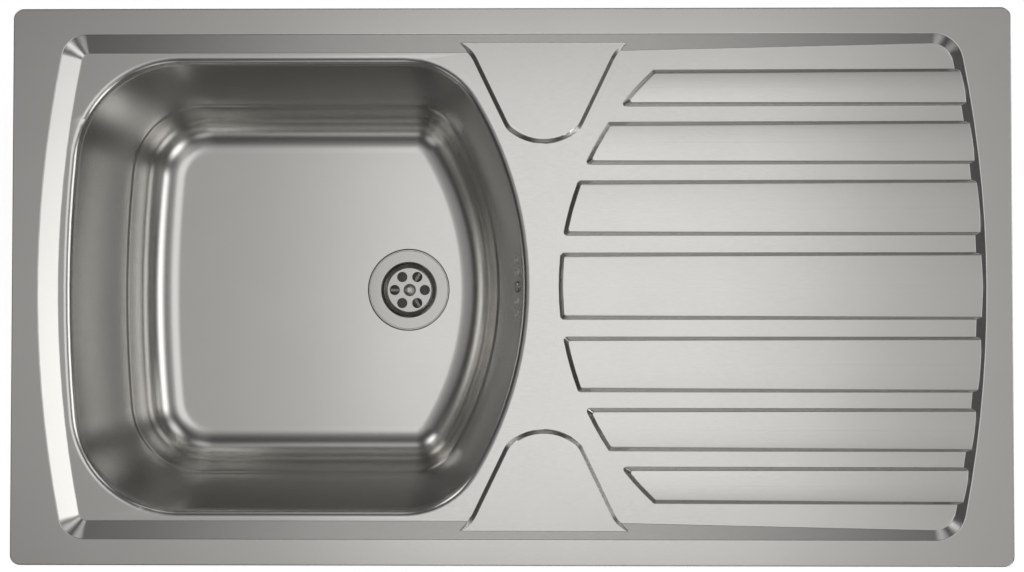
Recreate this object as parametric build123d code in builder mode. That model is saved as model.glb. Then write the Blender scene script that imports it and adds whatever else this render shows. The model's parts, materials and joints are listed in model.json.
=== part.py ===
from build123d import *
from math import atan, cos, radians, sin, tan
import os

# Kitchen sink with drainboard: an inset bowl and drainer in pressed stainless steel.
# Millimetres. The origin is the middle of the outline on the worktop: +X runs towards the
# drainer end, +Y to the back edge and +Z up. The rim lies above z = 0, all else hangs below.

# ---- driving dimensions -----------------------------------------------------------------

# outline and sheet
LENGTH = 780.0
WIDTH = 435.0
OUTLINE_CORNER = 8.0
RIM_HEIGHT = 3.5
SHEET = 0.8
RIM_EDGE_RADIUS = 1.2

# pressed field inside the rim
RIM_WIDTH = 20.5
END_BOW_RADIUS = 930.0
FIELD_CORNER_LEFT = 20.0
FIELD_CORNER_RIGHT = 24.0
BAND_ANGLE = 35.0
FIELD_DEPTH_BOWL = 9.3
FIELD_DEPTH_END = 4.5
FIELD_EDGE_RADIUS = 1.6

# drainer ribs, from the middle one outwards: their widths share what the gaps leave of the field,
# and their ends lie on a bow whose radius is a share of the field's half width
RIB_SHARES = (52.0, 42.9, 33.2, 28.4)
RIB_GAPS = (13.8, 12.8, 12.5)
RIB_MARGIN = 27.4
RIB_ANGLE = 50.0
RIB_HEIGHT_BOWL = 3.6
RIB_HEIGHT_END = 2.7
RIB_CROWN = 0.5
RIB_END_BOW = 1.173
RIB_END_CLEARANCE = 29.0
RIB_END_CORNER = 3.0
RIB_EDGE_RADIUS = 1.1
RIB_FOOT_RADIUS = 1.1

# tap ledges at the back and front
LEDGE_DEPTH = 4.4
LEDGE_ANGLE = 65.0
LEDGE_HALF_BASE = 59.5
LEDGE_HALF_TIP = 27.4
LEDGE_REACH = 82.3
LEDGE_TIP_SAGITTA = 11.0
LEDGE_TIP_CORNER = 14.0
LEDGE_FLARE = 24.0
LEDGE_ROOT = 1.5
LEDGE_OFFSET = 17.0

# bowl
BOWL_LENGTH = 355.0
BOWL_MARGIN_END = 44.0
BOWL_MARGIN_SIDE = 42.5
BOWL_BOW_LEFT = 1100.0
BOWL_BOW_RIGHT = 281.0
BOWL_CORNER_LEFT = 80.0
BOWL_CORNER_RIGHT = 62.0
BOWL_DEPTH = 150.0
BOWL_DRAFT = 13.0
BOWL_FLOOR_RADIUS = 26.0
LIP_RADIUS = 6.5
LIP_LAND = 0.7
RING_HEIGHT = 46.0
RING_STEP = 1.2

# waste outlet
WASTE_FROM_BOWL_END = 100.0
WASTE_RECESS_RADIUS = 35.4
WASTE_HOLE_RADIUS = 27.0
STRAINER_FLANGE_RADIUS = 34.4
STRAINER_METAL = 1.0
STRAINER_WELL_RADIUS = 23.5
STRAINER_GRID_RADIUS = 19.8
STRAINER_GRID_DROP = 11.5
STRAINER_HOLE_RADIUS = 4.45
STRAINER_HOLE_CIRCLE = 13.3
STRAINER_HOLES = 6
STRAINER_SEAL = 1.0
WASTE_GASKET = 2.5
WASTE_FLANGE_RADIUS = 34.0
WASTE_FLANGE = 4.0
WASTE_CUP_RADIUS = 30.0
WASTE_WALL = 3.0
WASTE_CUP_DEPTH = 33.0
OUTLET_THREAD_RADIUS = 23.9
OUTLET_LENGTH = 22.0
OUTLET_BORE_RADIUS = 20.0
BOSS_RADIUS = 7.0
BOSS_DROP = 2.0
BOSS_LENGTH = 20.0
SPIDER_ARMS = 3
SPIDER_ARM = 2.4
INSERT_ACROSS_FLATS = 9.0
INSERT_LENGTH = 12.0
STRAINER_SCREW_RADIUS = 3.0
STRAINER_SCREW_LENGTH = 18.0
STRAINER_SCREW_HEAD_RADIUS = 5.4
STRAINER_SCREW_HEAD = 2.6

# overflow
OVERFLOW_DEPTH = 32.0
SLOT_OFFSETS = (11.7, 21.7)
SLOT_WIDTH = 6.0
SLOT_HEIGHT = 11.0
OVERFLOW_HALF_LENGTH = 33.0
OVERFLOW_HALF_HEIGHT = 13.0
OVERFLOW_GASKET = 2.0
OVERFLOW_GASKET_LAND = 4.0
OVERFLOW_HEAD = 25.0
OVERFLOW_WALL = 2.2
OVERFLOW_SCREW_RADIUS = 2.5
OVERFLOW_SCREW_HEAD_RADIUS = 4.6
OVERFLOW_SCREW_HEAD = 2.2
OVERFLOW_SCREW_LENGTH = 18.0
OVERFLOW_BOSS_RADIUS = 5.0

# overflow pipework: the hose's bends as shares of its run to the waste and of its fall
SPIGOT_RADIUS = 12.5
SPIGOT_BORE_RADIUS = 9.0
SPIGOT_LENGTH = 10.0
HOSE_BENDS = ((0.0, 0.4), (0.13, 0.71), (0.4, 0.91), (0.67, 1.0))
HOSE_RADIUS = 11.0
HOSE_WALL = 1.2
HOSE_CUFF_RADIUS = 12.2
HOSE_CUFF = 2.0
HOSE_SEAL = 2.0
NUT_RADIUS = 15.5
NUT_LENGTH = 15.0
NUT_LIP = 2.0
NUT_FLUTES = 8

# seal and damping
SEAL_INSET = 1.6
SEAL_WIDTH = 6.4
PAD_FROM_BOWL_END = 61.0
PAD_FROM_WASTE = 74.0
PAD_WIDTH = 170.0
PAD_THICKNESS = 3.0
PAD_CORNER = 12.0

# fixing clamps
CUTOUT_INSET = 10.0
CLAMP_FROM_END = 120.0
CLAMP_SCREW_INSET = 26.0
BRACKET_METAL = 1.5
BRACKET_WIDTH = 20.0
BRACKET_FLANGE = 7.7
BRACKET_LEG = 14.2
BRACKET_END = 8.0
BRACKET_BEND_RADIUS = 1.2
CLAMP_SCREW_RADIUS = 2.5
CLAMP_SCREW_LENGTH = 60.0
CLAMP_HEAD_RADIUS = 4.8
CLAMP_HEAD = 3.2
CLAMP_COLLAR_RADIUS = 4.2
CLAMP_COLLAR = 1.8
CLAMP_RIVET_RADIUS = 3.6
CLAMP_RIVET = 1.0
CLAW_REACH = 28.0
CLAW_WIDTH = 13.0
CLAW_METAL = 4.5
CLAW_HUB_RADIUS = 6.5
CLAW_HUB = 9.0
CLAW_TOOTH = 5.0
CLAW_BITE = 45.0

# clearances
THREAD_CLEARANCE = 0.1
SIDE_CLEARANCE = 0.3
SHAFT_CLEARANCE = 0.08

# ---- places that follow from them -------------------------------------------------------

waste_recess = STRAINER_METAL + STRAINER_SEAL
overflow_z = RIM_HEIGHT - OVERFLOW_DEPTH
field_z = RIM_HEIGHT - FIELD_DEPTH_BOWL
half_length = LENGTH / 2
half_width = WIDTH / 2
field_half_length = half_length - RIM_WIDTH
field_half_width = half_width - RIM_WIDTH
rib_scale = (field_half_width - RIB_MARGIN - sum(RIB_GAPS)) / (sum(RIB_SHARES) - RIB_SHARES[0] / 2)
bowl_left = -half_length + BOWL_MARGIN_END
bowl_right = bowl_left + BOWL_LENGTH
bowl_width = WIDTH - 2 * BOWL_MARGIN_SIDE
waste_x = bowl_right - WASTE_FROM_BOWL_END
seam_z = field_z - LIP_RADIUS - LIP_LAND
floor_z = RIM_HEIGHT - BOWL_DEPTH
ring_z = floor_z + RING_HEIGHT
slope_x = bowl_right + LIP_RADIUS + 2.0
slope = (FIELD_DEPTH_BOWL - FIELD_DEPTH_END) / (field_half_length - slope_x)
slope_angle = atan(slope)
ledge_x = bowl_right + LEDGE_OFFSET
rib_end_x = bowl_right + RIB_END_CLEARANCE
rib_end_bow = RIB_END_BOW * field_half_width


def half_angle_shift(angle):
    """Sideways shift of a bent sheet's inner face, where its wall meets the flat."""
    return SHEET * tan(radians(angle) / 2)


# ---- deck: rim, sloped band, draining field, ribs, tap ledges and bowl lip --------------


def field_plan(grow):
    """Outline of the pressed field, with bowed ends and round corners."""
    with BuildSketch() as plan:
        Rectangle(LENGTH, 2 * (field_half_width + grow))
        for side in (-1, 1):
            with Locations((side * (field_half_length - END_BOW_RADIUS), 0)):
                Circle(END_BOW_RADIUS + grow, mode=Mode.INTERSECT)
        fillet(plan.vertices().group_by(Axis.X)[0], FIELD_CORNER_LEFT + grow)
        fillet(plan.vertices().group_by(Axis.X)[-1], FIELD_CORNER_RIGHT + grow)
    return plan.sketch


def bowl_plan(grow):
    """Outline of the bowl at its mouth: the left end nearly straight, the right end bowed."""
    middle_x = (bowl_left + bowl_right) / 2
    with BuildSketch() as plan:
        with Locations((middle_x, 0)):
            Rectangle(BOWL_LENGTH + 2 * grow, bowl_width + 2 * grow)
        with Locations((bowl_left + BOWL_BOW_LEFT, 0)):
            Circle(BOWL_BOW_LEFT + grow, mode=Mode.INTERSECT)
        with Locations((bowl_right - BOWL_BOW_RIGHT, 0)):
            Circle(BOWL_BOW_RIGHT + grow, mode=Mode.INTERSECT)
        left_corners = plan.vertices().filter_by(lambda v: v.X < middle_x and abs(v.Y) > bowl_width / 4)
        fillet(left_corners, BOWL_CORNER_LEFT + grow)
        right_corners = plan.vertices().filter_by(lambda v: v.X > middle_x and abs(v.Y) > bowl_width / 4)
        fillet(right_corners, BOWL_CORNER_RIGHT + grow)
    return plan.sketch


def sloped_plane(height):
    """Plane of the draining floor, raised by a height, with its origin where the slope starts."""
    return Plane(
        origin=(slope_x, 0, field_z + height),
        x_dir=(cos(slope_angle), 0, sin(slope_angle)),
        z_dir=(-sin(slope_angle), 0, cos(slope_angle)),
    )


def field_space(grow, drop):
    """Space above the field's floor, inside the sloped band."""
    top = Plane.XY.offset(RIM_HEIGHT - drop)
    low = field_z - drop
    high = low + slope * (half_length - slope_x)
    with BuildPart() as space:
        with BuildSketch(top):
            add(field_plan(grow))
        extrude(amount=FIELD_DEPTH_BOWL + 1, taper=90 - BAND_ANGLE)
        mirror(about=top, mode=Mode.REPLACE)
        with BuildSketch(Plane.XZ):
            with BuildLine():
                Polyline(
                    (-half_length, low),
                    (slope_x, low),
                    (half_length, high),
                    (half_length, RIM_HEIGHT),
                    (-half_length, RIM_HEIGHT),
                    close=True,
                )
            make_face()
        extrude(amount=WIDTH, both=True, mode=Mode.INTERSECT)
    return space.part


def rib_forms(drop):
    """The seven raised ribs, their ends on one bow round the bowl, as tapered crowned bars."""
    wall_drop = drop / cos(radians(RIB_ANGLE))
    top_fall = (RIB_HEIGHT_BOWL - RIB_HEIGHT_END) / (field_half_length - rib_end_x)
    bars = [(-RIB_SHARES[0] * rib_scale / 2, RIB_SHARES[0] * rib_scale / 2)]
    for gap, share in zip(RIB_GAPS, RIB_SHARES[1:]):
        near = bars[-1][1] + gap
        bars.append((near, near + share * rib_scale))
    bars += [(-high, -low) for low, high in bars[1:]]
    with BuildPart() as ribs:
        with BuildSketch(sloped_plane(-wall_drop)):
            for low, high in bars:
                with Locations((half_length - slope_x, (low + high) / 2)):
                    Rectangle(2 * LENGTH, high - low)
            with Locations((rib_end_x + rib_end_bow - slope_x, 0)):
                Circle(rib_end_bow, mode=Mode.INTERSECT)
        extrude(amount=1.1 * RIB_HEIGHT_BOWL + wall_drop, taper=90 - RIB_ANGLE)
        corners = ribs.edges().filter_by(
            lambda e: e.center().X < half_length / 2 and e.length < 4 * RIB_HEIGHT_BOWL
        )
        fillet(corners, RIB_END_CORNER)
        crown_angle = slope_angle - atan(top_fall)
        crowns = Plane(
            origin=(rib_end_x, 0, field_z - drop + slope * (rib_end_x - slope_x) + RIB_HEIGHT_BOWL),
            x_dir=(0, 1, 0),
            z_dir=(cos(crown_angle), 0, sin(crown_angle)),
        )
        with BuildSketch(crowns):
            for low, high in bars:
                with BuildLine():
                    crown = ThreePointArc((low, -RIB_CROWN), ((low + high) / 2, 0), (high, -RIB_CROWN))
                    Polyline(crown @ 1, (high, -LENGTH / 10), (low, -LENGTH / 10), crown @ 0)
                make_face()
        extrude(amount=LENGTH, both=True, mode=Mode.INTERSECT)
        if not drop:
            crown_faces = ribs.faces().filter_by(lambda f: f.normal_at().Z > 0.99)
            fillet(crown_faces.edges(), RIB_EDGE_RADIUS)
    return ribs.part


def ledge_forms(drop):
    """The two flat tap ledges that run in from the band at the back and the front."""
    wall_drop = drop / cos(radians(LEDGE_ANGLE))
    height = FIELD_DEPTH_BOWL - LEDGE_DEPTH
    spread = height / tan(radians(LEDGE_ANGLE))
    root_y = field_half_width - LEDGE_DEPTH / tan(radians(BAND_ANGLE)) + LEDGE_ROOT
    tip_y = field_half_width - LEDGE_REACH
    with BuildPart() as ledges:
        with BuildSketch(Plane.XY.offset(field_z - wall_drop)) as plan:
            with BuildLine():
                tip = ThreePointArc(
                    (ledge_x - LEDGE_HALF_TIP, tip_y + LEDGE_TIP_SAGITTA),
                    (ledge_x, tip_y),
                    (ledge_x + LEDGE_HALF_TIP, tip_y + LEDGE_TIP_SAGITTA),
                )
                Polyline(
                    tip @ 1,
                    (ledge_x + LEDGE_HALF_BASE, root_y),
                    (ledge_x + 2 * LEDGE_HALF_BASE, root_y),
                    (ledge_x + 2 * LEDGE_HALF_BASE, half_width),
                    (ledge_x - 2 * LEDGE_HALF_BASE, half_width),
                    (ledge_x - 2 * LEDGE_HALF_BASE, root_y),
                    (ledge_x - LEDGE_HALF_BASE, root_y),
                    tip @ 0,
                )
            make_face()
            offset(amount=spread, kind=Kind.INTERSECTION)
            fillet(plan.vertices().sort_by(Axis.Y)[0:2], LEDGE_TIP_CORNER + spread)
            roots = plan.vertices().filter_by(lambda v: v.Y > root_y - 2 * height)
            inner = roots.filter_by(lambda v: abs(v.X - ledge_x) < 1.5 * LEDGE_HALF_BASE)
            fillet(inner, LEDGE_FLARE - spread)
        extrude(amount=height + wall_drop - drop, taper=90 - LEDGE_ANGLE)
        if not drop:
            rounded = ledges.edges().group_by(Axis.Z)[-1].filter_by(
                lambda e: e.center().Y < root_y - 1 and abs(e.center().X - ledge_x) < 1.5 * LEDGE_HALF_BASE
            )
            fillet(rounded, RIB_EDGE_RADIUS)
        mirror(about=Plane.XZ)
    return ledges.part


def outline_edges(part, outline, height):
    """Edges of a part that lie on a flat outline at a height."""
    wire = outline.face().outer_wire().moved(Location((0, 0, height)))
    level = part.edges().filter_by(lambda e: abs(e.center().Z - height) < 0.01)
    return level.filter_by(lambda e: wire.distance_to(e.center()) < 0.01)


def deck_form(drop):
    """Solid below one face of the deck sheet: the outer face, or the inner one when dropped."""
    with BuildPart() as space:
        add(field_space(half_angle_shift(BAND_ANGLE) if drop else 0.0, drop))
        add(rib_forms(drop), mode=Mode.SUBTRACT)
        add(ledge_forms(drop), mode=Mode.SUBTRACT)
        if not drop:
            floors = space.faces().filter_by(lambda f: f.normal_at().Z < -0.99)
            fillet(floors.edges(), RIB_FOOT_RADIUS)
    with BuildPart() as form:
        with BuildSketch():
            RectangleRounded(LENGTH - 2 * drop, WIDTH - 2 * drop, OUTLINE_CORNER - drop)
        extrude(amount=RIM_HEIGHT - drop)
        if not drop:
            fillet(form.edges().group_by(Axis.Z)[-1], RIM_EDGE_RADIUS)
        with BuildSketch():
            add(field_plan(SHEET))
        extrude(amount=seam_z)
        add(space.part, mode=Mode.SUBTRACT)
        if not drop:
            fillet(outline_edges(form.part, field_plan(0), RIM_HEIGHT), FIELD_EDGE_RADIUS)
        with BuildSketch(Plane.XY.offset(seam_z)):
            add(bowl_plan(drop))
        extrude(amount=RIM_HEIGHT - seam_z, mode=Mode.SUBTRACT)
        fillet(outline_edges(form.part, bowl_plan(drop), field_z - drop), LIP_RADIUS - drop)
    return form.part


with BuildPart() as deck:
    add(deck_form(0.0))
    add(deck_form(SHEET), mode=Mode.SUBTRACT)


# ---- bowl: drawn in two stages, with a ring between them and a recess for the waste ------


def bowl_form(grow):
    """Solid of the bowl's hollow, or of its outside when grown by the sheet."""
    upper = Plane.XY.offset(seam_z)
    lower = Plane.XY.offset(ring_z - grow)
    inset = (seam_z - ring_z + grow) * tan(radians(BOWL_DRAFT)) + RING_STEP
    with BuildPart() as wall:
        with BuildSketch(upper):
            add(bowl_plan(grow))
        extrude(amount=seam_z - ring_z + grow, taper=BOWL_DRAFT)
        mirror(about=upper, mode=Mode.REPLACE)
    with BuildPart() as form:
        with BuildSketch(lower):
            add(bowl_plan(grow - inset))
        extrude(amount=ring_z - floor_z, taper=BOWL_DRAFT)
        mirror(about=lower, mode=Mode.REPLACE)
        fillet(form.edges().group_by(Axis.Z)[0], BOWL_FLOOR_RADIUS + grow)
        add(wall.part)
        with Locations((waste_x, 0, floor_z + 1)):
            Cylinder(
                WASTE_RECESS_RADIUS + grow,
                waste_recess + grow + 1,
                align=(Align.CENTER, Align.CENTER, Align.MAX),
            )
    return form.part


overflow_wall = Plane(
    origin=(bowl_right - (seam_z - overflow_z) * tan(radians(BOWL_DRAFT)), 0, overflow_z),
    x_dir=(0, 1, 0),
    z_dir=(-cos(radians(BOWL_DRAFT)), 0, sin(radians(BOWL_DRAFT))),
)


def overflow_outline(grow):
    """Racetrack outline of the overflow housing, seen along X."""
    with BuildSketch(Plane.YZ.offset(bowl_right - BOWL_MARGIN_END)) as outline:
        with Locations((0, overflow_z)):
            SlotOverall(
                2 * (OVERFLOW_HALF_LENGTH + grow),
                2 * (OVERFLOW_HALF_HEIGHT + grow),
            )
    return outline.sketch


with BuildPart() as bowl:
    add(bowl_form(SHEET))
    add(bowl_form(0.0), mode=Mode.SUBTRACT)
    with Locations((waste_x, 0, floor_z)):
        Cylinder(WASTE_HOLE_RADIUS, 4 * waste_recess, mode=Mode.SUBTRACT)
    with BuildSketch(Plane.YZ):
        with Locations([(side * y, overflow_z) for y in SLOT_OFFSETS for side in (-1, 1)]):
            SlotOverall(SLOT_HEIGHT, SLOT_WIDTH, rotation=90)
    extrude(amount=BOWL_MARGIN_END, both=True, mode=Mode.SUBTRACT)
    with BuildSketch(overflow_wall):
        Circle(OVERFLOW_SCREW_RADIUS + THREAD_CLEARANCE)
    extrude(amount=BOWL_MARGIN_END, both=True, mode=Mode.SUBTRACT)


# ---- strainer and waste body ------------------------------------------------------------

on_waste = Location((waste_x, 0, 0))


def turned(profile):
    """Solid of revolution about the waste's axis, from (radius, height) points."""
    with BuildPart() as body:
        with BuildSketch(Plane.XZ):
            with BuildLine():
                Polyline(*profile, close=True)
            make_face()
        revolve(axis=Axis.Z)
    return body.part.moved(on_waste)


def tube(inner, outer, low, high):
    """Plain ring about the waste's axis."""
    return turned(((inner, low), (outer, low), (outer, high), (inner, high)))


well_outer = STRAINER_WELL_RADIUS + STRAINER_METAL
grid_top = floor_z - STRAINER_GRID_DROP
grid_low = grid_top - STRAINER_METAL
flange_low = floor_z - STRAINER_METAL
with BuildPart() as strainer:
    with BuildSketch(Plane.XZ):
        with BuildLine():
            Polyline(
                (0, grid_low),
                (STRAINER_GRID_RADIUS + STRAINER_METAL, grid_low),
                (well_outer, grid_low + STRAINER_METAL + 3.0),
                (well_outer, flange_low),
                (STRAINER_FLANGE_RADIUS, flange_low),
                (STRAINER_FLANGE_RADIUS, floor_z),
                (STRAINER_WELL_RADIUS, floor_z),
                (STRAINER_WELL_RADIUS, grid_top + 3.0),
                (STRAINER_GRID_RADIUS, grid_top),
                (0, grid_top),
                close=True,
            )
        make_face()
    revolve(axis=Axis.Z)
    mouth_edge = strainer.edges().filter_by(
        lambda e: e.geom_type == GeomType.CIRCLE
        and abs(e.radius - STRAINER_WELL_RADIUS) < 0.01
        and abs(e.center().Z - floor_z) < 0.01
    )
    chamfer(mouth_edge, STRAINER_METAL)
    with Locations((0, 0, grid_top)):
        with PolarLocations(STRAINER_HOLE_CIRCLE, STRAINER_HOLES):
            Cylinder(STRAINER_HOLE_RADIUS, 4 * STRAINER_METAL, mode=Mode.SUBTRACT)
        Cylinder(STRAINER_SCREW_RADIUS + THREAD_CLEARANCE, 4 * STRAINER_METAL, mode=Mode.SUBTRACT)
strainer.part.locate(on_waste)

strainer_seal_ring = tube(
    WASTE_HOLE_RADIUS, STRAINER_FLANGE_RADIUS - SIDE_CLEARANCE, flange_low - STRAINER_SEAL, flange_low
)
with BuildPart() as strainer_seal:
    add(strainer_seal_ring)

gasket_top = floor_z - waste_recess - SHEET
gasket_low = gasket_top - WASTE_GASKET
with BuildPart() as waste_gasket:
    add(tube(WASTE_HOLE_RADIUS, WASTE_FLANGE_RADIUS, gasket_low, gasket_top))


def screw(radius, length, head_radius, head, recess_depth):
    """Pan-head screw, head up, with the seat of its head at height 0 and a cross recess."""
    with BuildPart() as body:
        Cylinder(radius, length, align=(Align.CENTER, Align.CENTER, Align.MAX))
        Cylinder(head_radius, head, align=(Align.CENTER, Align.CENTER, Align.MIN))
        chamfer(body.edges().group_by(Axis.Z)[-1], head / 3)
        for angle in (0, 90):
            with Locations(Location((0, 0, head), (0, 0, angle))):
                Box(
                    1.2 * head_radius,
                    head_radius / 4,
                    2 * recess_depth,
                    mode=Mode.SUBTRACT,
                )
    return body.part


boss_top = grid_low - BOSS_DROP
cup_low = gasket_low - WASTE_CUP_DEPTH
outlet_low = cup_low - OUTLET_LENGTH
inlet_z = cup_low + SPIGOT_RADIUS + WASTE_WALL
inlet_end = WASTE_FLANGE_RADIUS + SPIGOT_LENGTH
with BuildPart() as waste_body:
    with BuildSketch(Plane.XZ):
        with BuildLine():
            Polyline(
                (WASTE_HOLE_RADIUS, gasket_low),
                (WASTE_FLANGE_RADIUS, gasket_low),
                (WASTE_FLANGE_RADIUS, gasket_low - WASTE_FLANGE),
                (WASTE_CUP_RADIUS, gasket_low - WASTE_FLANGE),
                (WASTE_CUP_RADIUS, cup_low + WASTE_WALL),
                (OUTLET_THREAD_RADIUS, cup_low),
                (OUTLET_THREAD_RADIUS, outlet_low),
                (OUTLET_BORE_RADIUS, outlet_low),
                (OUTLET_BORE_RADIUS, cup_low + WASTE_WALL),
                (WASTE_HOLE_RADIUS, cup_low + 2 * WASTE_WALL),
                close=True,
            )
        make_face()
    revolve(axis=Axis.Z)
    with BuildSketch(Plane.YZ.offset(WASTE_CUP_RADIUS - WASTE_WALL)):
        with Locations((0, inlet_z)):
            Circle(SPIGOT_RADIUS)
    extrude(amount=inlet_end - WASTE_CUP_RADIUS + WASTE_WALL)
    with BuildSketch(Plane.YZ.offset(OUTLET_BORE_RADIUS)):
        with Locations((0, inlet_z)):
            Circle(SPIGOT_BORE_RADIUS)
    extrude(amount=inlet_end, mode=Mode.SUBTRACT)
    with Locations((0, 0, boss_top)):
        Cylinder(BOSS_RADIUS, BOSS_LENGTH, align=(Align.CENTER, Align.CENTER, Align.MAX))
    arm_length = WASTE_HOLE_RADIUS + WASTE_WALL / 2
    for arm in range(SPIDER_ARMS):
        with Locations(Location((0, 0, boss_top - BOSS_DROP), (0, 0, 60 + arm * 360 / SPIDER_ARMS))):
            Box(
                arm_length,
                SPIDER_ARM,
                BOSS_LENGTH - 2 * BOSS_DROP,
                align=(Align.MIN, Align.CENTER, Align.MAX),
            )
    with BuildSketch(Plane.XY.offset(boss_top)):
        RegularPolygon(INSERT_ACROSS_FLATS / 2, 6, major_radius=False)
    extrude(amount=-INSERT_LENGTH, mode=Mode.SUBTRACT)
    with Locations((0, 0, boss_top)):
        Cylinder(
            STRAINER_SCREW_RADIUS + SIDE_CLEARANCE,
            BOSS_LENGTH - WASTE_WALL,
            align=(Align.CENTER, Align.CENTER, Align.MAX),
            mode=Mode.SUBTRACT,
        )
waste_body.part.locate(on_waste)

with BuildPart() as screw_insert:
    with BuildSketch(Plane.XY.offset(boss_top)):
        RegularPolygon(INSERT_ACROSS_FLATS / 2, 6, major_radius=False)
        Circle(STRAINER_SCREW_RADIUS + THREAD_CLEARANCE, mode=Mode.SUBTRACT)
    extrude(amount=-INSERT_LENGTH)
screw_insert.part.locate(on_waste)

with BuildPart() as strainer_screw:
    add(
        screw(
            STRAINER_SCREW_RADIUS,
            STRAINER_SCREW_LENGTH,
            STRAINER_SCREW_HEAD_RADIUS,
            STRAINER_SCREW_HEAD,
            STRAINER_SCREW_HEAD / 2,
        )
    )
strainer_screw.part.locate(Location((waste_x, 0, grid_top)))


# ---- overflow: housing behind the slots, gasket, screw and hose to the waste -------------


def wall_shell(near, far):
    """Layer outside the bowl's wall between two distances from its outer face."""
    return bowl_form(SHEET + far) - bowl_form(SHEET + near)


with BuildPart() as overflow_gasket:
    add(overflow_outline(0.0))
    extrude(amount=2 * BOWL_MARGIN_END, dir=(1, 0, 0))
    add(overflow_outline(-OVERFLOW_GASKET_LAND))
    extrude(amount=2 * BOWL_MARGIN_END, dir=(1, 0, 0), mode=Mode.SUBTRACT)
    add(wall_shell(0.0, OVERFLOW_GASKET), mode=Mode.INTERSECT)

housing_depth = BOWL_MARGIN_END + OVERFLOW_HEAD
spigot_x = bowl_right + OVERFLOW_HEAD - SPIGOT_RADIUS
spigot_low = overflow_z - OVERFLOW_HALF_HEIGHT - SPIGOT_LENGTH
with BuildPart() as housing_hollow:
    add(overflow_outline(-OVERFLOW_GASKET_LAND))
    extrude(amount=housing_depth - OVERFLOW_WALL, dir=(1, 0, 0))
    with BuildSketch(overflow_wall):
        Circle(OVERFLOW_BOSS_RADIUS)
    extrude(amount=-2 * OVERFLOW_HEAD, mode=Mode.SUBTRACT)
    with BuildSketch(overflow_wall):
        Circle(OVERFLOW_SCREW_RADIUS + THREAD_CLEARANCE)
    extrude(amount=-OVERFLOW_SCREW_LENGTH)
    with BuildSketch(Plane.XY.offset(spigot_low)):
        with Locations((spigot_x, 0)):
            Circle(SPIGOT_BORE_RADIUS)
    extrude(amount=overflow_z - OVERFLOW_BOSS_RADIUS - OVERFLOW_WALL - spigot_low)
with BuildPart() as overflow_housing:
    add(overflow_outline(0.0))
    extrude(amount=housing_depth, dir=(1, 0, 0))
    chamfer(overflow_housing.faces().sort_by(Axis.X)[-1].edges(), OVERFLOW_WALL)
    with BuildSketch(Plane.XY.offset(overflow_z)):
        with Locations((spigot_x, 0)):
            Circle(SPIGOT_RADIUS)
    extrude(amount=spigot_low - overflow_z)
    add(bowl_form(SHEET + OVERFLOW_GASKET), mode=Mode.SUBTRACT)
    add(housing_hollow.part, mode=Mode.SUBTRACT)

with BuildPart() as overflow_screw:
    add(
        screw(
            OVERFLOW_SCREW_RADIUS,
            OVERFLOW_SCREW_LENGTH - 1.0,
            OVERFLOW_SCREW_HEAD_RADIUS,
            OVERFLOW_SCREW_HEAD,
            OVERFLOW_SCREW_HEAD / 2,
        )
    )
overflow_screw.part.locate(overflow_wall.offset(SHAFT_CLEARANCE).location)


def ringed(plane, profile):
    """Solid of revolution about a pipe's axis, from (radius, distance out of its end) points."""
    with BuildPart() as body:
        with BuildSketch(Plane.XZ):
            with BuildLine():
                Polyline(*profile, close=True)
            make_face()
        revolve(axis=Axis.Z)
    return body.part.moved(plane.location)


housing_end = Plane(origin=(spigot_x, 0, spigot_low), x_dir=(1, 0, 0), z_dir=(0, 0, -1))
inlet_face = Plane(origin=(waste_x + inlet_end, 0, inlet_z), x_dir=(0, 1, 0), z_dir=(1, 0, 0))
hose_start = HOSE_SEAL + HOSE_CUFF


def hose_seal(plane):
    """Washer between a spigot's end and the hose's cuff."""
    with BuildPart() as washer:
        add(
            ringed(
                plane,
                (
                    (HOSE_RADIUS - HOSE_WALL, 0),
                    (HOSE_CUFF_RADIUS, 0),
                    (HOSE_CUFF_RADIUS, HOSE_SEAL),
                    (HOSE_RADIUS - HOSE_WALL, HOSE_SEAL),
                ),
            )
        )
    return washer


def hose_nut(plane):
    """Fluted union nut that holds the hose's cuff on a spigot."""
    bore = SPIGOT_RADIUS + THREAD_CLEARANCE
    mouth = HOSE_RADIUS + SIDE_CLEARANCE
    top = hose_start + NUT_LIP
    with BuildPart() as nut:
        Cylinder(NUT_RADIUS, NUT_LENGTH, align=(Align.CENTER, Align.CENTER, Align.MAX))
        chamfer(nut.edges().filter_by(GeomType.CIRCLE), NUT_LIP / 2)
        with PolarLocations(NUT_RADIUS + 0.4, NUT_FLUTES):
            Cylinder(1.4, 2 * NUT_LENGTH, mode=Mode.SUBTRACT)
        Cylinder(mouth, 2 * NUT_LENGTH, mode=Mode.SUBTRACT)
        with Locations((0, 0, -NUT_LIP)):
            Cylinder(bore, NUT_LENGTH, align=(Align.CENTER, Align.CENTER, Align.MAX), mode=Mode.SUBTRACT)
    nut.part.locate(plane.location * Location((0, 0, top)))
    return nut


hose_seal_top = hose_seal(housing_end)
hose_seal_low = hose_seal(inlet_face)
hose_nut_top = hose_nut(housing_end)
hose_nut_low = hose_nut(inlet_face)

hose_from = housing_end.offset(HOSE_SEAL).origin
hose_to = inlet_face.offset(HOSE_SEAL).origin
hose_way = hose_to - hose_from
route = [hose_from]
for run_share, fall_share in HOSE_BENDS:
    route.append(hose_from + Vector(run_share * hose_way.X, 0, fall_share * hose_way.Z))
route.append(hose_to)


def bend_radii(points):
    """Radius for each inner point of a route, as large as its two runs allow."""
    radii = []
    for before, here, after in zip(points, points[1:], points[2:]):
        turn = (here - before).get_angle(after - here)
        shorter = min((here - before).length, (after - here).length)
        radii.append(0.45 * shorter / tan(radians(turn) / 2))
    return radii


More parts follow.
